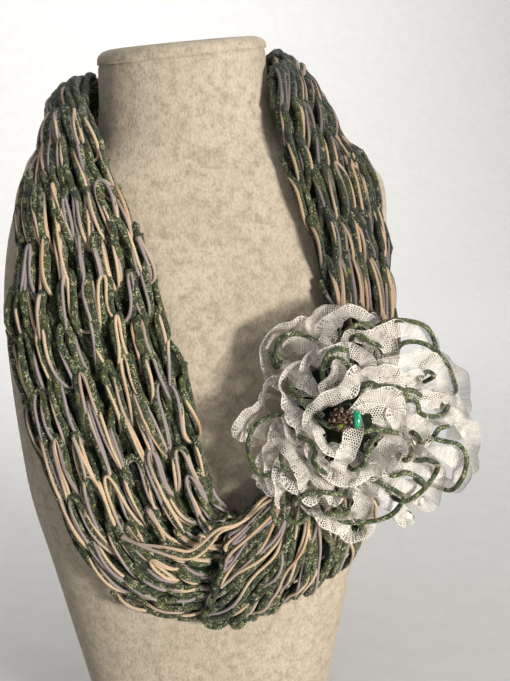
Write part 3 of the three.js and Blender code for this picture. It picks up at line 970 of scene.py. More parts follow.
@dataclass
class ScarfForm:
    """The lie of the cloth: a map from a place along it, a share across it and a raise to points."""

    bust: Bust
    sections: Sequence[ScarfSection] = tuple(SCARF_SECTIONS)
    step: float = 0.1  # sections between the map's rows
    shares: int = 41
    search_step: float = 0.5  # mm
    search_reach: float = 60.0

    def __post_init__(self) -> None:
        """Works out the cloth's underside and the way out of it, over the whole scarf."""
        last = len(self.sections) - 1
        self.places = np.arange(0, last + self.step / 2, self.step)
        middle = [sum(self._ends(np.clip(self.places + d, 0, last))) / 2 for d in (-0.1, 0.1)]
        inner, outer = self._ends(self.places)
        across = outer - inner
        width = np.linalg.norm(across, axis=1)
        across = across / width[:, None]
        out = unit(np.cross(middle[1] - middle[0], across))
        share = np.linspace(0, 1, self.shares)
        bulge, lift, self.thick = (self._value(key) for key in ("bulge", "lift", "thick"))
        flat = inner[:, None] + across[:, None] * (width[:, None] * share)[..., None]
        start = bulge[:, None] * 4 * share * (1 - share)
        height = self._clear(flat, out, start, np.broadcast_to(lift[:, None], start.shape))
        rise = np.gradient(height, share, axis=1) / width[:, None]
        length = np.hypot(rise, 1.0)[..., None]
        self.under = flat + out[:, None] * height[..., None]
        self.way_out = (out[:, None] - across[:, None] * rise[..., None]) / length
        self.across = across
        self.width = width

    def _ends(self, places: Array) -> tuple[Array, Array]:
        """The cloth's two edges.

        Args:
            places: the ways along, in sections.

        Returns:
            The points of the inner and of the outer edge.
        """
        lean = np.interp(places, *zip(*TWIST_LEAN), left=0.0)
        inner = curve(np.array([s.inner for s in self.sections], float), places - lean)
        outer = curve(np.array([s.outer for s in self.sections], float), places)
        return inner, outer

    def _value(self, key: str) -> Array:
        """A value of the table along the scarf.

        Args:
            key: its name.

        Returns:
            The value at each of the map's places.
        """
        values = np.array([getattr(section, key) for section in self.sections], float)
        low = np.minimum(self.places.astype(int), len(values) - 2)
        t = self.places - low
        return values[low] + (values[low + 1] - values[low]) * t * t * (3 - 2 * t)

    def _clear(self, flat: Array, out: Array, start: Array, lift: Array) -> Array:
        """The least height, from a start, at which the cloth clears the bust.

        Args:
            flat: points on the straight line between a section's ends.
            out: each section's way out.
            start: the heights of its arch.
            lift: the clearances.

        Returns:
            The heights.
        """
        height = start.copy()
        for _ in range(int(self.search_reach / self.search_step)):
            clear = self.bust.outside(flat + out[:, None] * height[..., None], lift)
            height = np.where(clear, height, height + self.search_step)
        return height

    def at(self, place: Array, share: Array, raised: Array) -> Array:
        """Points of the cloth.

        Args:
            place: the way along, in sections.
            share: the way across, 0 at the inner edge and 1 at the outer one, or a little beyond.
            raised: the height over the underside, in millimetres.

        Returns:
            The points, in metres.
        """
        row = np.clip(place, 0, self.places[-1]) / self.step
        held = np.clip(share, 0, 1)
        column = held * (self.shares - 1)
        r = np.minimum(row.astype(int), len(self.places) - 2)
        c = np.minimum(column.astype(int), self.shares - 2)
        fr, fc = (row - r)[..., None], (column - c)[..., None]

        def blend(grid: Array) -> Array:
            """A grid's value between its four nearest entries.

            Args:
                grid: values at every place and share.

            Returns:
                The value at each wanted place and share.
            """
            near = grid[r, c] * (1 - fc) + grid[r, c + 1] * fc
            far = grid[r + 1, c] * (1 - fc) + grid[r + 1, c + 1] * fc
            return near * (1 - fr) + far * fr

        beyond = ((share - held) * self.width[r])[..., None] * self.across[r]
        return (blend(self.under) + beyond + unit(blend(self.way_out)) * raised[..., None]) * MM

    def thickness(self, place: Array) -> Array:
        """The gathered knit's thickness at places, in millimetres."""
        return np.interp(place, self.places, self.thick)


class Knitting(Enum):
    """How a stretch's yarn runs."""

    HOOKS_ON = "long open stitches that hook the one farther on"
    HOOKS_BACK = "long open stitches that hook the one before"
    STRANDS = "stitches drawn out from edge to edge"


@dataclass(frozen=True)
class Stretch:
    """A stretch of the scarf that shows."""

    node: str
    first: float
    last: float
    wales: int
    courses: int
    knitting: Knitting
    dark: bool = False  # whether it lies in a darker length of the yarns' dye


STRETCHES = [
    Stretch("scarf_left_fall", 0, 12, wales=7, courses=13, knitting=Knitting.HOOKS_ON),
    Stretch("scarf_neck_back", 12, 20, wales=5, courses=8, knitting=Knitting.HOOKS_ON, dark=True),
    Stretch("scarf_right_fall", 20, 28, wales=6, courses=9, knitting=Knitting.HOOKS_BACK, dark=True),
    Stretch("scarf_twist", 28, 34, wales=7, courses=17, knitting=Knitting.STRANDS),
]

# How far back along the scarf a drawn-out strand's inner end lies, in sections, by its outer end.
STRAND_LEAN = [(28.0, 0.0), (30.0, 0.6), (32.0, 2.0), (34.0, 3.2), (36.0, 3.9), (40.0, 6.8)]

# The yarn that runs along the twist's upper edge and over it to the left, in millimetres.
TOP_YARN = [
    (42, -64, 171), (32, -68, 165), (24.5, -69, 162), (18, -69.5, 156.5), (10, -71.5, 152.5), (2, -71.5, 151),
    (-4.5, -69.5, 142), (-12.5, -68.5, 136.5), (-24, -67.5, 140), (-37.5, -64.5, 141.5), (-46, -59, 144),
]


@dataclass
class Scarf:
    """The knitted scarf: a thick glitter yarn, and a thin strand that winds round it.

    A yarn's path is a row for each of its points: place, share and height in the cloth, and how
    far the thin strand turns behind the yarn there, from 0 to 1.
    """

    form: ScarfForm
    yarn: float = 1.8  # mm, its radius
    strand: float = 0.84
    doubled: float = 0.45  # of the courses, the share with two thin strands
    stitch_tall: float = 0.78  # half of a stitch's height, in courses
    stitch_bow: float = 0.13  # how far its legs bow, in wales
    stitch_narrow: float = 0.13  # how much narrower its hook is, in wales
    stitch_deep: float = 3.4  # mm, how far its legs stand out of the cloth
    tall_stray: Stray = Stray(0.5, 0.26)  # of its height, along the course in wales
    bow_stray: Stray = Stray(0.7, 0.9)
    sway_stray: Stray = Stray(0.4, 0.30)  # wales
    course_stray: Stray = Stray(0.8, 0.15)  # courses
    height_stray: Stray = Stray(0.35, 0.9)  # mm
    behind_stray: Stray = Stray(0.5, 0.75)
    leg_stray: Stray = Stray(0.20, 0.26)  # sections, along a drawn-out strand's share
    leg_side_stray: Stray = Stray(0.5, 0.015)
    drawn_stray: Stray = Stray(9.0, 1.3)  # mm, of its height along its way
    drawn_behind_stray: Stray = Stray(22.0, 0.9)
    wind_stray: Stray = Stray(0.034, 1.5)  # radians round the yarn, along it in metres
    reach_stray: Stray = Stray(0.020, 0.4)  # mm
    thick_stray: Stray = Stray(0.006, 0.09)  # of the yarn's radius
    steps: int = 30  # points to a stitch
    ease: int = 5  # points to each side, over which the thin strand cuts its corners
    floor: float = 3.2  # mm, the least height of the yarns' middle line over the underside
    under_height: float = 0.55  # the under layer's height, to that of the stitches in front
    under_drop: float = 3.6  # mm, how far the twist's under layer lies below the one in front
    under_yarn: float = 0.92  # its yarn's radius, to the yarn's
    front_ends: tuple[float, float] = (0.35, 0.28)  # sections to the first leg's end, and to each next
    under_ends: tuple[float, float] = (0.2, 0.5)
    hidden_ends: float = 6.2  # sections past the twist, where strands that lean out of it end
    drawn_scale: tuple[float, float] = (16.0, 60.0)  # mm to a section, and across the twist
    under_sides: int = 7
    strand_sides: int = 6
    ground: float = 3.0  # mm, the height of the ground over the underside
    ground_thick: float = 0.8
    ground_points: int = 43  # across
    seed: int = 11

    def stitched(self, stretch: Stretch, course: int, under: bool, rng: np.random.Generator) -> Array:
        """A course of stitches.

        Args:
            stretch: where it lies.
            course: its number, from the first.
            under: whether it belongs to the layer below, half a stitch along.
            rng: the source of chance.

        Returns:
            The yarn's path.
        """
        shift = 0.5 if under else 0.0
        steps = self.steps // 2 if under else self.steps
        up = -1 if stretch.knitting is Knitting.HOOKS_BACK else 1
        t = np.linspace(0, TURN * stretch.wales, stretch.wales * steps + 1)
        wale = t / TURN
        hook = (1 + np.cos(t)) / 2
        tall = self.stitch_tall * (1 + self.tall_stray.draw(rng, wale))
        bow = self.stitch_bow * (1 + self.bow_stray.draw(rng, wale))
        sway = bow * np.sin(2 * t) - self.stitch_narrow * np.sin(t) * hook + self.sway_stray.draw(rng, wale)
        across = (wale + sway) / stretch.wales
        along = course + 0.5 + shift + up * tall * np.cos(t) + self.course_stray.draw(rng, wale)
        place = stretch.first + along * (stretch.last - stretch.first) / stretch.courses
        thick = self.form.thickness(place)
        edge = np.clip(np.abs(2 * across - 1), 0, 1)
        round_off = np.sqrt(1 - edge**5)
        top = self.floor + (thick - self.yarn - self.stitch_deep - self.floor) * (0.25 + 0.75 * round_off)
        rise = 0.6 * np.cos(t) - 0.55 * np.cos(2 * t)
        height = top + self.stitch_deep * rise + self.height_stray.draw(rng, wale)
        if under:
            height = height * self.under_height
        behind = np.cos(t) ** 6 * np.clip(0.95 + self.behind_stray.draw(rng, wale), 0.1, 1.1)
        return np.stack([place, across, height, behind], 1)

    def leg(self, stretch: Stretch, end: float, rng: np.random.Generator) -> Array:
        """A drawn-out strand from its inner end, as place and share, to the twist's edge.

        Args:
            stretch: the twist.
            end: the place of its outer end, or beyond the twist.
            rng: the source of chance.

        Returns:
            One row for each point.
        """
        lean = np.interp(end, *zip(*STRAND_LEAN))
        share = np.linspace(-0.01, 1.01, 40)
        place = end - lean * (1 - share) + self.leg_stray.draw(rng, share)
        row = np.stack([place, share + self.leg_side_stray.draw(rng, share)], 1)
        if place.max() <= stretch.last:
            return row
        return row[: max(int(np.argmax(place > stretch.last)), 3)]

    def hairpins(self, stretch: Stretch, under: bool, rng: np.random.Generator) -> list[Array]:
        """The twist's strands, each drawn out to the lower edge and back.

        Args:
            stretch: where they lie.
            under: whether they are the layer below.
            rng: the source of chance.

        Returns:
            The yarns' paths.
        """
        start, step = self.under_ends if under else self.front_ends
        ends = np.arange(stretch.first + start, stretch.last + self.hidden_ends, step)
        paths = []
        for first, second in zip(ends[::2], ends[1::2]):
            down, back = self.leg(stretch, first, rng), self.leg(stretch, second, rng)[::-1]
            bend = rng.uniform(0.015, 0.07) if down[-1, 1] > 0.9 else 0.01
            turn = (down[-1] + back[0]) / 2 + [0.0, bend]
            row = smooth_path(np.vstack([down[::3], turn, back[::3]]), 5)
            place, share = row[:, 0], row[:, 1]
            edge = np.clip(np.abs(2 * share - 1), 0, 1)
            top = (self.form.thickness(place) - self.yarn - 1.0) * (0.24 + 0.76 * np.sqrt(1 - edge**4))
            t = lengths(row * self.drawn_scale)
            height = top - (self.under_drop if under else 0.0) + self.drawn_stray.draw(rng, t)
            behind = np.clip(self.drawn_behind_stray.draw(rng, t) + 0.15 + 2.5 * (share > 0.94), 0, 1)
            behind = eased(behind[:, None], 4)[:, 0]
            paths.append(np.stack([place, share, np.maximum(height, self.yarn), behind], 1))
        return paths

    def courses(self, stretch: Stretch, under: bool, rng: np.random.Generator) -> list[Array]:
        """The yarns' paths over a stretch.

        Args:
            stretch: where they lie.
            under: whether they are the layer below.
            rng: the source of chance.

        Returns:
            One path for each course or drawn-out strand.
        """
        if stretch.knitting is Knitting.STRANDS:
            return self.hairpins(stretch, under, rng)
        return [self.stitched(stretch, course, under, rng) for course in range(stretch.courses)]

    def beside(self, path: Array, out: Array, behind: Array | float, rng: np.random.Generator) -> Array:
        """The thin strand's path, winding along a yarn and mostly in front of it.

        Args:
            path: the yarn's middle line, in metres.
            out: the cloth's way out at its points.
            behind: how far it turns behind the yarn, from 0 to 1.
            rng: the source of chance.

        Returns:
            The strand's middle line.
        """
        way = lengths(path)
        along = tangents(path)
        front = square_to(out, along)
        side = np.cross(along, front)
        angle = self.wind_stray.draw(rng, way) + math.pi * behind
        reach = (self.yarn + self.strand * 0.8 + self.reach_stray.draw(rng, way)) * MM
        wound = path + (front * np.cos(angle)[:, None] + side * np.sin(angle)[:, None]) * reach[:, None]
        return eased(wound, self.ease)

    def ground_sheet(self, stretch: Stretch) -> tuple[Strips, float, float]:
        """The knit's shadowed ground, a thin closed cloth with a fold for each wale.

        Args:
            stretch: where it lies.

        Returns:
            Its faces, and the cloth's mean width and length in metres.
        """
        rows, columns = stretch.courses * 6 + 1, self.ground_points
        place = np.linspace(stretch.first, stretch.last, rows)[:, None] + np.zeros(columns)
        share = np.linspace(0.025, 0.975, columns) + np.zeros((rows, 1))
        edge = np.sqrt(np.clip(1 - np.abs(2 * share - 1) ** 5, 0, 1))
        fold = (self.ground + 0.6 * np.cos(TURN * stretch.wales * share)) * edge
        top, low = (self.form.at(place, share, raised + fold) for raised in (0.6 + self.ground_thick, 0.6))
        width = float(np.linalg.norm(np.diff(top, axis=1), axis=2).sum(1).mean())
        length = float(np.linalg.norm(np.diff(top, axis=0), axis=2).sum(0).mean())
        quad = grid_faces(rows, columns)[0]
        spots = np.stack([place.ravel()[quad], share.ravel()[quad]], 2)
        strips = Strips()
        strips.add(np.concatenate([top.reshape(-1, 3), low.reshape(-1, 3)]), quad[:, ::-1], spots[:, ::-1])
        strips.cover(quad + rows * columns, spots, new_row=True)
        grid = np.arange(rows * columns).reshape(rows, columns)
        rim = np.concatenate([grid[0], grid[1:, -1], grid[-1, -2::-1], grid[-2:0:-1, 0]])
        band, down, along = grid_faces(2, len(rim), closed=True)
        rims = np.concatenate([rim, rim + rows * columns])
        strips.cover(rims[band], np.stack([along / len(rim), down], 2), new_row=True)
        return strips, width, length

    def layer(self, stretch: Stretch, yarns: Strips, rng: np.random.Generator) -> None:
        """Adds a stretch's under layer of yarn to a mesh.

        Args:
            stretch: where it lies.
            yarns: the mesh.
            rng: the source of chance.
        """
        for path in self.courses(stretch, True, rng):
            line = self.form.at(*path.T[:3])
            thick = self.yarn * self.under_yarn * MM
            add_tube(yarns, line, thick, self.under_sides, rng.uniform(0, DYE_START))

    def front(self, stretch: Stretch, yarns: Strips, strands: Strips, rng: np.random.Generator) -> None:
        """Adds a stretch's front layer of yarn and thin strands to their meshes.

        Args:
            stretch: where it lies.
            yarns: the yarns' mesh.
            strands: the thin strands' mesh.
            rng: the source of chance.
        """
        for path in self.courses(stretch, False, rng):
            line = self.form.at(*path.T[:3])
            out = unit(self.form.at(path[:, 0], path[:, 1], path[:, 2] + 1) - line)
            thick = self.yarn * MM * (1 + self.thick_stray.draw(rng, lengths(line)))
            add_tube(yarns, line, thick, YARN_SIDES, rng.uniform(0, DYE_START))
            doubled = stretch.knitting is not Knitting.STRANDS and rng.random() < self.doubled
            for _ in range(2 if doubled else 1):
                wound = self.beside(line, out, path[:, 3], rng)
                start = rng.uniform(0, DYE_START)
                add_tube(strands, wound, self.strand * MM, self.strand_sides, start)
        if stretch.knitting is Knitting.STRANDS:
            line = smooth_path(TOP_YARN, 8) * MM
            add_tube(yarns, line, self.yarn * MM, YARN_SIDES)
            for _ in range(2):
                wound = self.beside(line, np.array([0.0, -1.0, 0.0]), 0.0, rng)
                add_tube(strands, wound, self.strand * MM, self.strand_sides)

    def build(self) -> None:
        """Makes every stretch, in place of its solid."""
        looks = [
            (finish.material(), dark.material())
            for finish, dark in ((SCARF_YARN, DARK_YARN), (ThinStrand(), DARK_STRAND))
        ]
        under_look = UNDER_YARN_PAINTED_LIGHT.material()
        ground_look = KnitGround().material()
        for number, stretch in enumerate(STRETCHES):
            rng = np.random.default_rng(self.seed + number)
            yarns, under_yarns, strands = Strips(), Strips(), Strips()
            self.layer(stretch, under_yarns, rng)
            self.front(stretch, yarns, strands, rng)
            ground, width, length = self.ground_sheet(stretch)
            cloth = ground.build(f"{stretch.node}_ground", ground_look)
            yarn_look, strand_look = (pair[stretch.dark] for pair in looks)
            pieces = [
                under_yarns.build(f"{stretch.node}_under_yarn", under_look),
                yarns.build(f"{stretch.node}_yarn", yarn_look),
                strands.build(f"{stretch.node}_strand", strand_look),
            ]
            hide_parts(stretch.node)


# The flower


class RibbonLoop(NamedTuple):
    """A loop of ribbon: where its tip points, from the flower's right, and its sizes in millimetres."""

    angle: float  # degrees
    root: float  # from the axis
    reach: float  # of the tip, from the axis
    rise: float  # of the root over the flower's back
    tip: float  # height of the tip
    open: float  # half of the gap between its two legs
    stand: float  # degrees: 0 with its face to the front, 90 on edge
    curl: float  # mm, how far the tip turns sideways


class RibbonRun(NamedTuple):
    """A stretch of ribbon that shows on the flower: its points in millimetres, in the flower's frame.

    leans are degrees at each point: 0 with the ribbon's face to the front, 90 with its outer edge
    turned straight to the front, and -90 with that edge turned to the back.
    """

    points: tuple[Triple, ...]
    leans: tuple[float, ...]


OUTER_LOOPS = [
    RibbonLoop(128, 14, 36, 4, 8, 7, 60, 4),
    RibbonLoop(92, 15, 38, 4, 7, 7, 66, -4),
    RibbonLoop(55, 14, 41, 4, 8, 7, 45, 4),
    RibbonLoop(20, 14, 46, 4, 7, 7, 58, -4),
    RibbonLoop(-14, 14, 47, 4, 7, 7, 50, 4),
    RibbonLoop(-48, 14, 44, 4, 6, 7, 62, -4),
    RibbonLoop(-84, 15, 42, 4, 6, 7, 48, 4),
    RibbonLoop(-120, 14, 39, 4, 6, 7, 60, -3),
    RibbonLoop(-152, 14, 37, 4, 7, 7, 50, 4),
    RibbonLoop(172, 14, 38, 4, 7, 7, 62, -4),
]
MIDDLE_LOOPS = [
    RibbonLoop(150, 8, 28, 13, 19, 6, 62, 4),
    RibbonLoop(95, 8, 28, 13, 20, 6, 55, -4),
    RibbonLoop(35, 8, 31, 13, 20, 6, 60, 4),
    RibbonLoop(-25, 8, 32, 13, 19, 6, 66, -4),
    RibbonLoop(-85, 8, 29, 13, 18, 6, 52, 4),
    RibbonLoop(-145, 8, 28, 13, 19, 6, 64, -4),
]
OUTER_RUNS = [
    # the sheer arch at the top
    RibbonRun(((-13, 33, 24), (-14, 41, 22), (-12, 48, 19), (-5, 52, 17), (3, 52, 16), (11, 50, 15),
               (18, 46, 15), (22, 41, 14)), (70, 62, 62, 65, 65, 62, 60, 65)),
    RibbonRun(((-9, 37, 25), (-5, 44, 26), (1, 48, 25), (8, 48, 24), (14, 45, 23), (18, 39, 21)),
              (-20, -35, -45, -45, -40, -30)),
    RibbonRun(((-2, 46, 21), (-4, 39, 23), (-7, 33, 24)), (15, 10, 20)),
    # the loop at the upper left, with its rim
    RibbonRun(((-17, 45, 20), (-22, 43, 21), (-28, 41, 20), (-33, 36, 19), (-35, 30, 17), (-33, 24, 15),
               (-30, 19, 16)), (35, 55, 70, 74, 74, 66, 60)),
    RibbonRun(((-24, 24, 17), (-29, 28, 19), (-28, 33, 22), (-22, 36, 25), (-15, 34, 27), (-9, 30, 26)),
              (60, 50, 35, 20, 15, 30)),
    # the curl at the left
    RibbonRun(((-31, 18, 21), (-35, 16, 20), (-37, 12, 19), (-37, 8, 20), (-41, 5, 22), (-46, 2, 23),
               (-49, -3, 22)), (70, 72, 70, 60, 35, 20, 15)),
    RibbonRun(((-43, -7, 19), (-40, -2, 22), (-35, 0, 24), (-31, -4, 27), (-28, -9, 29)),
              (35, 45, 60, 64, 60)),
    RibbonRun(((-33, -4, 24), (-35, -11, 23), (-36, -18, 22), (-36, -25, 22), (-33, -31, 22)),
              (62, 60, 62, 58, 40)),
    RibbonRun(((-32, -12, 20), (-37, -17, 19), (-40, -23, 17), (-41, -28, 15)), (45, 30, 35, 50)),
    RibbonRun(((-30, -21, 24), (-33, -26, 25), (-33, -32, 23), (-31, -38, 18)), (30, 35, 35, 55)),
    RibbonRun(((-42, -26, 15), (-38, -30, 16), (-33, -33, 17)), (50, 45, 50)),
    # the lower edge
    RibbonRun(((-19, -43, 19), (-12, -46, 19), (-4, -47, 20), (3, -44, 22), (7, -38, 25)),
              (66, 70, 70, 68, 60)),
    RibbonRun(((-4, -50, 14), (-2, -55, 13), (3, -57, 13), (8, -56, 13), (10, -50, 15)),
              (50, 50, 45, 45, 50)),
    RibbonRun(((-13, -45, 18), (-9, -50, 15), (-4, -53, 14)), (45, 40, 50)),
    RibbonRun(((12, -32, 30), (16, -38, 28), (21, -43, 24), (26, -47, 20), (28, -51, 16)),
              (10, 20, 20, 20, 30)),
    # the sheer loops at the right
    RibbonRun(((40, -23, 27), (43, -31, 25), (42, -38, 22), (37, -43, 19), (30, -43, 18)),
              (30, 30, 25, 30, 40)),
    RibbonRun(((41, -19, 28), (48, -21, 26), (54, -25, 24), (56, -31, 21), (52, -37, 18)),
              (15, 15, 20, 20, 30)),
    RibbonRun(((51, 4, 27), (56, -4, 26), (60, -11, 24), (62, -18, 22), (61, -27, 18)),
              (35, 30, 30, 35, 50)),
    RibbonRun(((49, 27, 19), (56, 21, 18), (60, 13, 17), (61, 6, 17), (60, -2, 17)), (55, 60, 55, 60, 60)),
    RibbonRun(((18, 37, 28), (24, 40, 28), (31, 40, 27), (38, 38, 25), (43, 33, 23), (45, 27, 19)),
              (20, 25, 25, 25, 30, 40)),
]
MIDDLE_RUNS = [
    # the dome at the upper right
    RibbonRun(((19, 24, 36), (27, 26, 36), (35, 25, 33), (42, 23, 30), (48, 18, 27), (51, 10, 23)),
              (20, 15, 20, 20, 25, 40)),
    RibbonRun(((4, 38, 32), (10, 37, 33), (16, 35, 34), (21, 31, 34), (23, 25, 32)), (35, 25, 20, 25, 45)),
    # the long band that goes out to the right
    RibbonRun(((19, 15, 40), (27, 16, 39), (35, 14, 37), (43, 11, 34), (50, 6, 31), (55, -1, 28),
               (57, -9, 25)), (60, 62, 58, 50, 42, 35, 35)),
    RibbonRun(((31, 7, 38), (36, 7, 37), (41, 5, 35), (46, 5, 31)), (40, 30, 30, 45)),
    RibbonRun(((30, -2, 38), (36, -5, 36), (42, -4, 34), (48, -1, 30)), (50, 50, 45, 50)),
    RibbonRun(((22, -24, 34), (28, -25, 33), (35, -26, 31), (41, -27, 28)), (40, 35, 35, 45)),
    RibbonRun(((17, -27, 32), (24, -32, 31), (30, -35, 27), (33, -40, 23)), (25, 15, 20, 40)),
    # the bright bands below
    RibbonRun(((12, -26, 33), (8, -33, 31), (5, -40, 27), (4, -47, 22)), (20, 10, 10, 25)),
    RibbonRun(((2, -28, 34), (-1, -34, 31), (-6, -39, 27), (-13, -42, 24), (-19, -42, 20)),
              (45, 45, 50, 50, 45)),
    RibbonRun(((-15, -26, 31), (-11, -31, 31), (-8, -37, 28)), (30, 20, 35)),
    RibbonRun(((-28, -27, 29), (-23, -31, 28), (-19, -36, 25)), (50, 50, 55)),
    RibbonRun(((-31, -8, 31), (-28, -13, 34), (-25, -19, 35), (-22, -26, 33), (-21, -31, 28)),
              (20, 5, 0, 5, 30)),
    # the long tangent band round the lower half
    RibbonRun(((-17, -9, 37), (-17, -15, 36), (-13, -22, 36), (-7, -26, 36), (0, -27, 36), (8, -24, 36),
               (16, -23, 35), (24, -21, 35), (30, -16, 34), (34, -10, 34), (33, -3, 35), (28, 1, 35)),
              (35, 25, 20, 20, 15, 20, 30, 45, 60, 65, 66, 60)),
    # the narrow curl at the left of the crown
    RibbonRun(((-19, 27, 32), (-25, 24, 31), (-29, 19, 30), (-30, 14, 31), (-27, 9, 33), (-24, 4, 35),
               (-22, -2, 36), (-21, -8, 34)), (76, 76, 74, 70, 58, 30, 20, 45)),
    RibbonRun(((-28, -2, 31), (-24, -8, 34), (-19, -10, 36), (-14, -12, 36)), (60, 66, 66, 60)),
    RibbonRun(((-26, 22, 32), (-21, 19, 36), (-16, 15, 38), (-11, 11, 38)), (55, 50, 48, 45)),
    RibbonRun(((-11, 31, 34), (-16, 26, 34), (-19, 21, 31)), (50, 48, 55)),
    RibbonRun(((-25, 1, 36), (-20, -3, 38), (-16, -5, 39), (-13, -10, 38)), (55, 50, 60, 60)),
]
INNER_RUNS = [
    RibbonRun(((-8, 29, 42), (-3, 31, 44), (3, 30, 44), (8, 26, 43), (9, 20, 38)), (35, 20, 15, 20, 45)),
    RibbonRun(((-11, 12, 39), (-9, 20, 44), (-7, 25, 45), (-4, 24, 43), (-3, 17, 38)),
              (55, 50, 50, 55, 55)),
    RibbonRun(((3, 19, 47), (-1, 14, 50), (-6, 10, 50), (-12, 7, 48), (-17, 4, 45), (-19, -2, 39)),
              (20, 5, 10, 20, 25, 45)),
    RibbonRun(((-2, 15, 45), (4, 19, 46), (11, 20, 46), (19, 18, 44), (26, 16, 42), (33, 17, 36)),
              (30, 30, 25, 20, 25, 40)),
    RibbonRun(((1, 2, 47), (7, 7, 47), (13, 9, 46), (20, 9, 44)), (40, 35, 30, 45)),
    RibbonRun(((13, 12, 43), (19, 7, 46), (20, 0, 47), (22, -7, 45), (23, -13, 38)), (35, 25, 15, 25, 45)),
    RibbonRun(((3, 3, 45), (9, 2, 46), (15, -1, 46), (20, -6, 44)), (25, 15, 20, 30)),
    RibbonRun(((20, 3, 44), (25, -2, 44), (30, -6, 42), (34, -12, 36)), (30, 25, 30, 50)),
    RibbonRun(((20, -5, 44), (17, -12, 44), (13, -19, 42), (9, -25, 36)), (30, 20, 20, 35)),
    RibbonRun(((18, -8, 43), (23, -12, 43), (23, -18, 39), (20, -24, 35)), (60, 58, 58, 60)),
    RibbonRun(((1, -2, 44), (-1, -8, 47), (-4, -14, 46), (-7, -20, 43), (-8, -24, 36)), (15, 5, 0, 5, 30)),
    RibbonRun(((-15, -3, 42), (-13, -9, 46), (-11, -13, 46), (-7, -15, 43)), (60, 50, 50, 55)),
]
# The sewn heart's radius and height, in millimetres, from its back to its front.
HEART_PROFILE = [
    (0.5, 0), (24, 0), (24, 3), (17, 7), (13, 14), (10, 24), (8, 34), (7, 40), (9, 42), (9, 44), (0.5, 44.3),
]

# The stretches of yarn that show on the flower, by their points like a ribbon's.
OUTER_YARN = [
    ((20, 43, 22), (26, 44, 24), (34, 43, 25), (41, 40, 24), (45, 34, 21), (46, 28, 17)),
    ((25, 29, 22), (29, 33, 25), (36, 33, 27), (44, 29, 26), (50, 22, 24), (53, 15, 21), (55, 9, 16)),
    ((-33, 32, 18), (-31, 25, 20), (-29, 28, 22), (-31, 32, 23), (-28, 39, 24), (-21, 40, 25),
             (-15, 38, 24), (-10, 35, 20)),
    ((0, 38, 26), (5, 42, 28), (11, 43, 28), (15, 42, 24)),
    ((7, 38, 29), (11, 35, 31), (16, 32, 31), (19, 28, 27)),
    ((-31, 3, 24), (-37, 2, 24), (-43, -2, 22), (-46, -8, 20), (-46, -15, 18), (-44, -21, 17),
             (-41, -25, 18), (-37, -25, 20)),
    ((39, -12, 26), (45, -14, 27), (52, -16, 26), (56, -21, 24), (56, -27, 22), (54, -33, 20),
             (50, -38, 16)),
    ((31, -22, 28), (36, -22, 29), (41, -25, 28), (39, -30, 27), (34, -36, 26), (28, -40, 25),
             (24, -41, 24)),
    ((10, -29, 30), (16, -33, 30), (21, -36, 29), (24, -39, 27), (20, -46, 23), (14, -49, 21),
             (7, -50, 19), (0, -50, 17), (-4, -49, 15)),
    ((-27, -40, 20), (-22, -35, 25), (-15, -34, 27), (-8, -35, 28), (-3, -36, 26)),
    ((-12, -44, 22), (-8, -45, 24), (-2, -45, 22)),
    ((-34, -35, 14), (-36, -42, 13), (-34, -49, 11), (-31, -41, 15), (-31, -36, 17)),
    ((-29, -37, 17), (-31, -43, 16), (-28, -48, 15), (-22, -48, 15), (-19, -43, 16), (-20, -38, 18)),
    ((38, -13, 30), (42, -8, 31), (47, -7, 28)),
]
INNER_YARN = [
    ((-11, 15, 34), (-12, 22, 38), (-10, 28, 40), (-6, 31, 41), (1, 30, 38)),
    ((-7, 27, 40), (-3, 26, 41), (0, 22, 41), (1, 16, 36)),
    ((-27, 17, 30), (-24, 12, 33), (-20, 6, 35), (-16, 1, 37), (-11, -3, 38)),
    ((5, 13, 38), (10, 15, 40), (16, 13, 41), (22, 12, 41), (27, 8, 39), (31, 5, 37), (33, 0, 34),
             (40, -2, 30), (45, -1, 28), (49, 3, 24)),
    ((21, 9, 37), (25, 11, 38), (31, 10, 36), (34, 8, 32)),
    ((38, 7, 28), (43, 7, 28), (48, 8, 24)),
    ((4, -7, 40), (9, -6, 41), (15, -7, 41), (22, -9, 39), (26, -12, 37), (27, -17, 36), (26, -21, 33)),
    ((11, -9, 40), (8, -12, 40), (6, -17, 39), (5, -21, 37), (1, -24, 34)),
    ((-23, -8, 34), (-19, -10, 36), (-17, -14, 36), (-18, -19, 35), (-14, -24, 33), (-11, -27, 30)),
    ((-32, -17, 27), (-31, -21, 29), (-27, -24, 29), (-24, -28, 26)),
    ((36, 17, 30), (38, 19, 31), (42, 17, 28)),
    ((29, -9, 36), (31, -11, 37), (33, -13, 34)),
    ((19, -28, 32), (25, -27, 33), (31, -30, 31), (35, -34, 27)),
]


@dataclass
class Band:
    """The lie of a ribbon, in millimetres and in the flower's frame."""

    path: Array  # its middle line
    across: Array  # unit directions across it
    half: float  # of its flat width
    curl: Array  # radians, how far its edges curl
    narrow: Array  # its gathered width, to its flat one

    def __post_init__(self) -> None:
        """Works out the distance along it and the way out of its face."""
        self.way = lengths(self.path)
        self.face = np.cross(tangents(self.path), self.across)

    def at(self, along: Array, sideways: Array, raised: float = 0.0) -> Array:
        """Points of the ribbon.

        Args:
            along: how far along it they are.
            sideways: how far from its middle line, when flat.
            raised: how far over its face.

        Returns:
            The points.
        """
        table = np.column_stack([self.path, self.across, self.face, self.curl, self.narrow])
        row = np.stack([np.interp(along, self.way, column) for column in table.T], 1)
        radius = self.half / np.where(np.abs(row[:, 9]) < 0.05, 0.05, row[:, 9])
        turn = np.clip(sideways, -self.half, self.half) / radius
        out = (radius * np.sin(turn) * row[:, 10])[:, None]
        rise = (radius * (1 - np.cos(turn)) + raised)[:, None]
        return row[:, :3] + unit(row[:, 3:6]) * out + row[:, 6:9] * rise


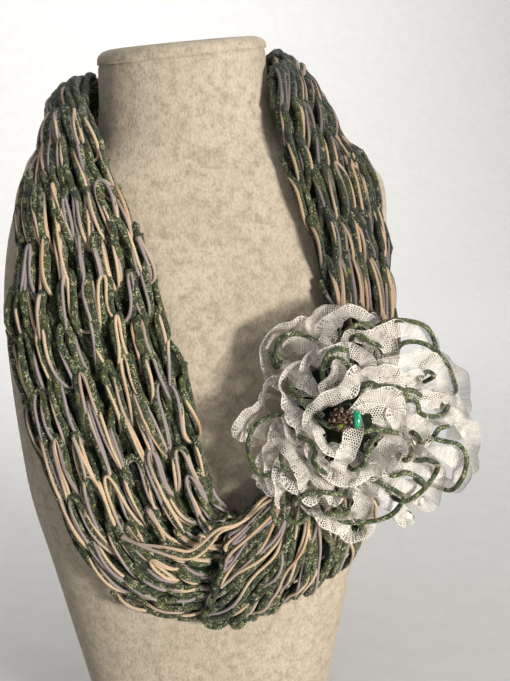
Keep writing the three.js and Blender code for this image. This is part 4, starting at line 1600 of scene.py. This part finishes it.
@dataclass
class Flower:
    """The big flower of net ribbon and yarn."""

    centre: Triple = (64, -63.04, 201)  # middle of its back
    tilt_up: float = 17.0  # degrees
    turn: float = -3.0
    width: float = 10.0  # mm, of the ribbon
    hole_pitch: float = 1.25
    hole: float = 0.68  # of its cell's radius
    selvedge: float = 0.5  # mm, of each denser edge
    curl: float = 0.45  # radians, how far a ribbon's edges curl
    tuck: float = 9.0  # mm, how deep a run's ends go down
    sink: float = 1.5  # mm, how far its ribbon lies under the traced line
    float_up: float = 3.0  # mm, how far its yarn lies over it
    yarn: float = 1.2  # mm, its radius
    rim_raised: float = 0.12  # mm, how far the denser edges lie over the net
    gap_stray: Stray = Stray(0.3, 0.25)  # of a loop's gap, along the loop's share
    loop_stray: Stray = Stray(0.25, 0.9)  # mm
    loop_lean_stray: Stray = Stray(0.34, 0.35)  # radians
    run_stray: Stray = Stray(4.5, 0.8)  # mm, along the ribbon in mm
    run_lean_stray: Stray = Stray(5.5, 0.45)  # radians
    curl_stray: Stray = Stray(7.0, 1.3)  # of the curl
    gather_stray: Stray = Stray(8.0, 0.3)  # of the width
    thick_stray: Stray = Stray(0.006, 0.10)  # of the yarn's radius, along it in metres
    heart_points: int = 48  # round the heart
    pleats: int = 12
    pleat_depth: float = 0.05  # of the heart's radius
    seed: int = 5

    def matrix(self) -> Array:
        """The turn from the flower's own frame, whose Z is its axis, to the part's."""
        tilt = Matrix.Rotation(math.radians(90 - self.tilt_up), 3, "X")
        return np.array(Matrix.Rotation(math.radians(self.turn), 3, "Z") @ tilt)

    def placed(self, points: Array) -> Array:
        """Points of the flower's own frame, in millimetres, as the part's, in metres."""
        return (points @ self.matrix().T + np.array(self.centre)) * MM

    def loop(self, row: RibbonLoop, rng: np.random.Generator) -> tuple[Array, Array]:
        """A ribbon loop's middle line and the directions across it, in the flower's frame.

        Args:
            row: the loop.
            rng: the source of chance.

        Returns:
            The points and the unit directions.
        """
        s = np.linspace(0, 1, 49)
        out = (1 - np.cos(TURN * s)) / 2
        radial = row.root + (row.reach - row.root) * out ** 0.8
        gap = row.open * np.sin(TURN * s) * (0.45 + 0.55 * out) * (1 + self.gap_stray.draw(rng, s))
        angle, stand = math.radians(row.angle), math.radians(row.stand)
        ray = np.array([math.cos(angle), math.sin(angle), 0.0])
        side = np.array([-math.sin(angle), math.cos(angle), 0.0])
        opening = -AXIS * math.cos(stand) + side * math.sin(stand)
        height = row.rise + (row.tip - row.rise) * np.sin(out * math.pi / 2) ** 0.7
        path = (
            ray * radial[:, None] + opening * gap[:, None] + AXIS * height[:, None]
            + side * (row.curl * out**2 + self.loop_stray.draw(rng, s))[:, None]
        )
        lean = stand + self.loop_lean_stray.draw(rng, s)
        across = side * np.cos(lean)[:, None] + AXIS * np.sin(lean)[:, None]
        return path, square_to(across, tangents(path))

    def net(self, strips: Strips, band: Band, start: float) -> None:
        """Adds a ribbon with its holes, and its two denser edges.

        Args:
            strips: the mesh that it joins.
            band: its lie.
            start: the way along at which its map starts, in metres.
        """
        cells = max(int(self.width / self.hole_pitch), 1)
        pitch = self.width / cells
        row_pitch = pitch * math.sqrt(3) / 2
        rows = int(band.way[-1] / row_pitch)
        row, column = np.indices((rows, cells)).reshape(2, -1)
        across = (column + 0.25 + 0.5 * (row % 2)) * pitch - self.width / 2
        middle = np.stack([(row + 0.5) * row_pitch, across], 1)
        angle = np.radians(60 * np.arange(6) + 30)
        spoke = np.stack([np.sin(angle), np.cos(angle)], 1) * pitch / math.sqrt(3)
        outer = middle[:, None] + spoke
        inner = middle[:, None] + spoke * self.hole
        flat = np.concatenate([outer.reshape(-1, 2), inner.reshape(-1, 2)])
        _, first, index = np.unique(np.round(flat, 3), axis=0, return_index=True, return_inverse=True)
        flat, index = flat[first], index.reshape(2, len(middle), 6)
        ring, hole = index[0], index[1]
        faces = np.stack([ring, np.roll(ring, -1, 1), np.roll(hole, -1, 1), hole], 2).reshape(-1, 4)
        strips.add(self.placed(band.at(flat[:, 0], flat[:, 1])), faces, flat[faces] * MM + [start, 0.0])
        for side in (-1, 1):
            rim = np.array([side * self.width / 2, side * (self.width / 2 - self.selvedge)])
            flat = np.stack([np.repeat(band.way, 2), np.tile(rim, len(band.way))], 1)
            faces = grid_faces(len(band.way), 2)[0]
            points = self.placed(band.at(flat[:, 0], flat[:, 1], self.rim_raised))
            strips.add(points, faces, flat[faces] * MM + [start, 0.0], new_row=False)

    def run(self, row: RibbonRun, rng: np.random.Generator) -> tuple[Array, Array]:
        """A traced ribbon's middle line and the directions across it, its ends tucked down.

        Args:
            row: the stretch.
            rng: the source of chance.

        Returns:
            The points and the unit directions, in the flower's frame.
        """
        points = np.array(row.points, float)
        leans = np.radians([row.leans[0], *row.leans, row.leans[-1]])
        path = smooth_path(self.tucked(points, self.tuck), 8)
        s = np.linspace(0, 1, len(path))
        way = lengths(path)
        path = path + np.stack([self.run_stray.draw(rng, way) for _ in range(3)], 1) - AXIS * self.sink
        lean = np.interp(s, np.linspace(0, 1, len(leans)), leans) + self.run_lean_stray.draw(rng, way)
        along = tangents(path)
        side = unit(np.cross(along, AXIS))
        outward = path * [1, 1, 0] - points.mean(0) * [0.3, 0.3, 0]
        side = side * np.where(np.sum(side * outward) < 0, -1.0, 1.0)
        front = np.cross(side, along)
        front = front * np.sign(front[:, 2:3] + 1e-9)
        return path, unit(side * np.cos(lean)[:, None] + front * np.sin(lean)[:, None])

    def ribbons(
        self,
        node: str,
        loops: Sequence[RibbonLoop],
        runs: Sequence[RibbonRun],
        finish: bpy.types.Material,
        seed: int,
    ) -> None:
        """Makes one layer of ribbon.

        Args:
            node: the solid that it stands for.
            loops: its loops underneath.
            runs: its stretches in front.
            finish: its material.
            seed: of its chance.
        """
        rng = np.random.default_rng(seed)
        strips = Strips()
        total = 0.0
        for path, across in [self.loop(row, rng) for row in loops] + [self.run(row, rng) for row in runs]:
            way = lengths(path)
            curl = self.curl * (1 + self.curl_stray.draw(rng, way))
            narrow = 1 - np.abs(self.gather_stray.draw(rng, way))
            band = Band(path, across, self.width / 2, curl, narrow)
            self.net(strips, band, total * MM)
            total += float(way[-1])
        piece = strips.build(node.replace("flower_", "flower_net_"), finish)
        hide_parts(node)

    def tucked(self, points: Array, depth: float) -> Array:
        """A line's points, with one more at each end that goes on and down into the flower.

        Args:
            points: the line.
            depth: how far down those go.

        Returns:
            The longer line.
        """
        ends = []
        for end, towards in ((points[0], points[1]), (points[-1], points[-2])):
            away = unit(end - towards)
            ends.append(end * [0.88, 0.88, 1] + away * 3 - AXIS * depth)
        return np.vstack([ends[0], points, ends[1]])

    def yarns(
        self, node: str, arcs: Sequence[Sequence[Triple]], finish: bpy.types.Material, seed: int
    ) -> None:
        """Makes one layer of yarn.

        Args:
            node: the solid that it stands for.
            arcs: its stretches that show.
            finish: its material.
            seed: of its chance.
        """
        rng = np.random.default_rng(seed)
        strips = Strips()
        for arc in arcs:
            raised = np.array(arc, float) + AXIS * self.float_up
            path = self.placed(smooth_path(self.tucked(raised, self.tuck), 8))
            thick = self.yarn * MM * (1 + self.thick_stray.draw(rng, lengths(path)))
            add_tube(strips, path, thick, YARN_SIDES, rng.uniform(0, DYE_START))
        piece = strips.build(node.replace("flower_", "flower_green_"), finish)
        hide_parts(node)

    def heart(self) -> None:
        """Makes the gathered, sewn heart that carries the loops, as a closed wound core, dark as painted
        shade in the gaps between them.
        """
        angle = np.linspace(0, TURN, self.heart_points, endpoint=False)
        rings = []
        for radius, height in smooth_path(HEART_PROFILE, 4):
            pleat = radius * (1 + self.pleat_depth * np.cos(self.pleats * angle + height * 0.4))
            rings.append(np.stack([pleat * np.cos(angle), pleat * np.sin(angle), angle * 0 + height], 1))
        strips = Strips()
        strips.wrap(self.placed(np.stack(rings)), np.linspace(0, 1, len(rings)))
        strips.build("flower_heart", FLOWER_HEART_PAINTED_SHADE.material())

    def build(self) -> None:
        """Makes the whole flower."""
        net = NetRibbon().material()
        yarn = FLOWER_YARN.material()
        self.heart()
        self.ribbons("flower_ribbon_outer", OUTER_LOOPS, OUTER_RUNS, net, self.seed)
        self.ribbons("flower_ribbon_middle", MIDDLE_LOOPS, MIDDLE_RUNS, net, self.seed + 1)
        self.ribbons("flower_ribbon_inner", [], INNER_RUNS, net, self.seed + 2)
        self.yarns("flower_yarn_outer", OUTER_YARN, yarn, self.seed + 3)
        self.yarns("flower_yarn_inner", INNER_YARN, yarn, self.seed + 4)


class BeadTier(NamedTuple):
    """A ring of small balls on the filigree bead, in millimetres."""

    count: int
    radius: float
    height: float  # over the bead's middle


@dataclass
class Beads:
    """The bronze filigree bead with its crystal, and the oval green bead, in the flower's frame."""

    flower: Flower
    bronze_place: Triple = (-6.4, -0.5, 50.0)
    core: float = 3.78  # mm, the radius of the ball inside the filigree
    dot: float = 1.05  # mm, the radius of its small balls
    tiers: Sequence[BeadTier] = (
        BeadTier(10, 4.4, -1.5), BeadTier(11, 4.6, 0.8), BeadTier(8, 3.5, 2.8), BeadTier(4, 1.7, 4.1),
    )
    crystal_shift: Triple = (-1.0, -2.6, 2.8)  # from the bronze bead's middle
    crystal: Triple = (1.6, 1.6, 1.3)  # mm, its radii
    green_place: Triple = (0.9, -0.8, 50.0)
    green: Triple = (2.1, 4.6, 2.1)
    opening: float = 0.05  # radians, from a ball's pole to its first ring

    def ball(self, strips: Strips, centre: Array, radii: Array, rows: int = 10) -> None:
        """Adds a ball or oval to a mesh.

        Args:
            strips: the mesh.
            centre: its middle.
            radii: its radii along the three axes.
            rows: how many rows of faces it has from pole to pole, and half of those round it.
        """
        angle = np.linspace(0, TURN, rows * 2, endpoint=False)
        rise = np.linspace(-math.pi / 2, math.pi / 2, rows + 1)
        rise[0], rise[-1] = rise[0] + self.opening, rise[-1] - self.opening
        wide, high = np.cos(rise)[:, None], np.sin(rise)[:, None]
        rings = np.stack([wide * np.cos(angle), wide * np.sin(angle), high + angle * 0], 2)
        strips.wrap(self.flower.placed(rings * radii + centre), np.linspace(0, 1, rows + 1))

    def filigree(self) -> None:
        """Makes the bronze bead, a ball with rings of small balls over it."""
        strips = Strips()
        middle = np.array(self.bronze_place)
        self.ball(strips, middle, np.full(3, self.core))
        for number, tier in enumerate(self.tiers):
            for i in range(tier.count):
                turn = TURN * (i + 0.5 * (number % 2)) / tier.count
                shift = [tier.radius * math.cos(turn), tier.radius * math.sin(turn), tier.height]
                self.ball(strips, middle + shift, np.full(3, self.dot), 5)
        bronze = strips.build("bead_filigree", Bronze().material())
        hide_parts("bead_bronze")

    def build(self) -> None:
        """Makes the beads."""
        self.filigree()
        crystal = Strips()
        middle = np.array(self.bronze_place) + self.crystal_shift
        self.ball(crystal, middle, np.array(self.crystal), 4)
        gem = crystal.build("bead_crystal", OLIVE_CRYSTAL.material(), smooth=False)
        green = Strips()
        self.ball(green, np.array(self.green_place), np.array(self.green))
        oval = green.build("bead_oval", GREEN_GLASS.material())
        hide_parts("bead_green")


# The studio


AIM = (0.03314, 0.0, 0.22619)  # the point of the object that the camera looks at


@dataclass(frozen=True)
class Lamp:
    """A round area light."""

    name: str
    place: Triple
    size: float  # metres across
    power: float  # watts
    colour: Colour = (1.0, 1.0, 1.0)
    aim: Triple = AIM


@dataclass
class Studio:
    """The camera, the lights, and the pale floor with its wall."""

    azimuth: float = -8.0  # degrees
    pitch: float = 14.0
    roll: float = 1.778
    distance: float = 0.56792
    view_tall: float = 36.0  # degrees, from the picture's foot to its top
    wall: float = 1.9  # metres behind the object's middle
    bend: float = 0.7  # radius of the turn from the floor to the wall
    bend_points: int = 12
    floor_front: float = -2.5  # metres, the floor's near edge
    floor_side: float = 3.0  # half of its width
    wall_top: float = 2.5
    sky: Colour = (0.95, 0.96, 1.0)
    sky_strength: float = 0.10
    lamps: Sequence[Lamp] = (
        Lamp("key", (0.68, -1.08, 0.28), 0.26, 18.0, (1.0, 0.95, 0.87)),
        Lamp("fill", (-0.85, -1.00, 0.75), 1.2, 1.9, (0.90, 0.95, 1.0)),
        Lamp("top", (0.10, -0.10, 1.45), 1.0, 5.0),
        Lamp("wall", (0.0, 0.90, 1.50), 1.2, 34.0, aim=(0.0, 1.9, 0.5)),
    )

    def camera(self) -> None:
        """Places the camera at the photograph's angle."""
        a, e, r = (math.radians(v) for v in (self.azimuth, self.pitch, self.roll))
        back = Vector((math.sin(a) * math.cos(e), -math.cos(a) * math.cos(e), math.sin(e)))
        right = (-back).cross(Vector((0, 0, 1))).normalized()
        up = right.cross(-back)
        rolled_right = right * math.cos(r) - up * math.sin(r)
        rolled_up = right * math.sin(r) + up * math.cos(r)
        turned = Matrix((rolled_right, rolled_up, back))
        data = bpy.data.cameras.new("camera")
        data.sensor_fit = "AUTO"
        data.lens = data.sensor_width / 2 / math.tan(math.radians(self.view_tall) / 2)
        camera = bpy.data.objects.new("camera", data)
        place = Vector(AIM) + back * self.distance
        camera.matrix_world = Matrix.Translation(place) @ turned.transposed().to_4x4()
        bpy.context.scene.collection.objects.link(camera)
        bpy.context.scene.camera = camera

    def lights(self) -> None:
        """Places the soft lights and an even sky."""
        for lamp in self.lamps:
            data = bpy.data.lights.new(lamp.name, "AREA")
            data.shape = "DISK"
            data.size = lamp.size
            data.energy = lamp.power
            data.color = lamp.colour
            made = bpy.data.objects.new(lamp.name, data)
            made.location = lamp.place
            away = Vector(lamp.place) - Vector(lamp.aim)
            made.rotation_euler = away.to_track_quat("Z", "Y").to_euler()
            bpy.context.scene.collection.objects.link(made)
        world = bpy.data.worlds.new("studio")
        world.use_nodes = True
        sky = world.node_tree.nodes["Background"].inputs
        sky["Color"].default_value = (*self.sky, 1.0)
        sky["Strength"].default_value = self.sky_strength
        bpy.context.scene.world = world
        bpy.context.scene.view_settings.view_transform = "Standard"

    def floor(self) -> None:
        """Makes the floor, which turns up into a wall behind the object."""
        angle = np.linspace(0, math.pi / 2, self.bend_points)
        turn = np.stack([self.wall - self.bend * (1 - np.sin(angle)), self.bend * (1 - np.cos(angle))], 1)
        profile = np.concatenate([[[self.floor_front, 0.0]], turn, [[self.wall, self.wall_top]]])
        mesh = bpy.data.meshes.new("floor")
        points = [(x, y, z) for y, z in profile for x in (-self.floor_side, self.floor_side)]
        faces = grid_faces(len(profile), 2)[0].tolist()
        mesh.from_pydata(points, [], faces)
        mesh.polygons.foreach_set("use_smooth", np.full(len(faces), True))
        mesh.materials.append(Backdrop().material())
        made = bpy.data.objects.new("floor", mesh)
        bpy.context.scene.collection.objects.link(made)

    def build(self) -> None:
        """Sets the whole studio."""
        self.camera()
        self.lights()
        self.floor()


def main() -> None:
    """Builds the dressed object and its studio, in order."""
    Studio().build()
    bust = Bust()
    bust.build()
    Scarf(ScarfForm(bust)).build()
    flower = Flower()
    flower.build()
    Beads(flower).build()


if __name__ == "__main__":
    logging.basicConfig(level=logging.INFO, format="%(name)s: %(message)s")
    main()
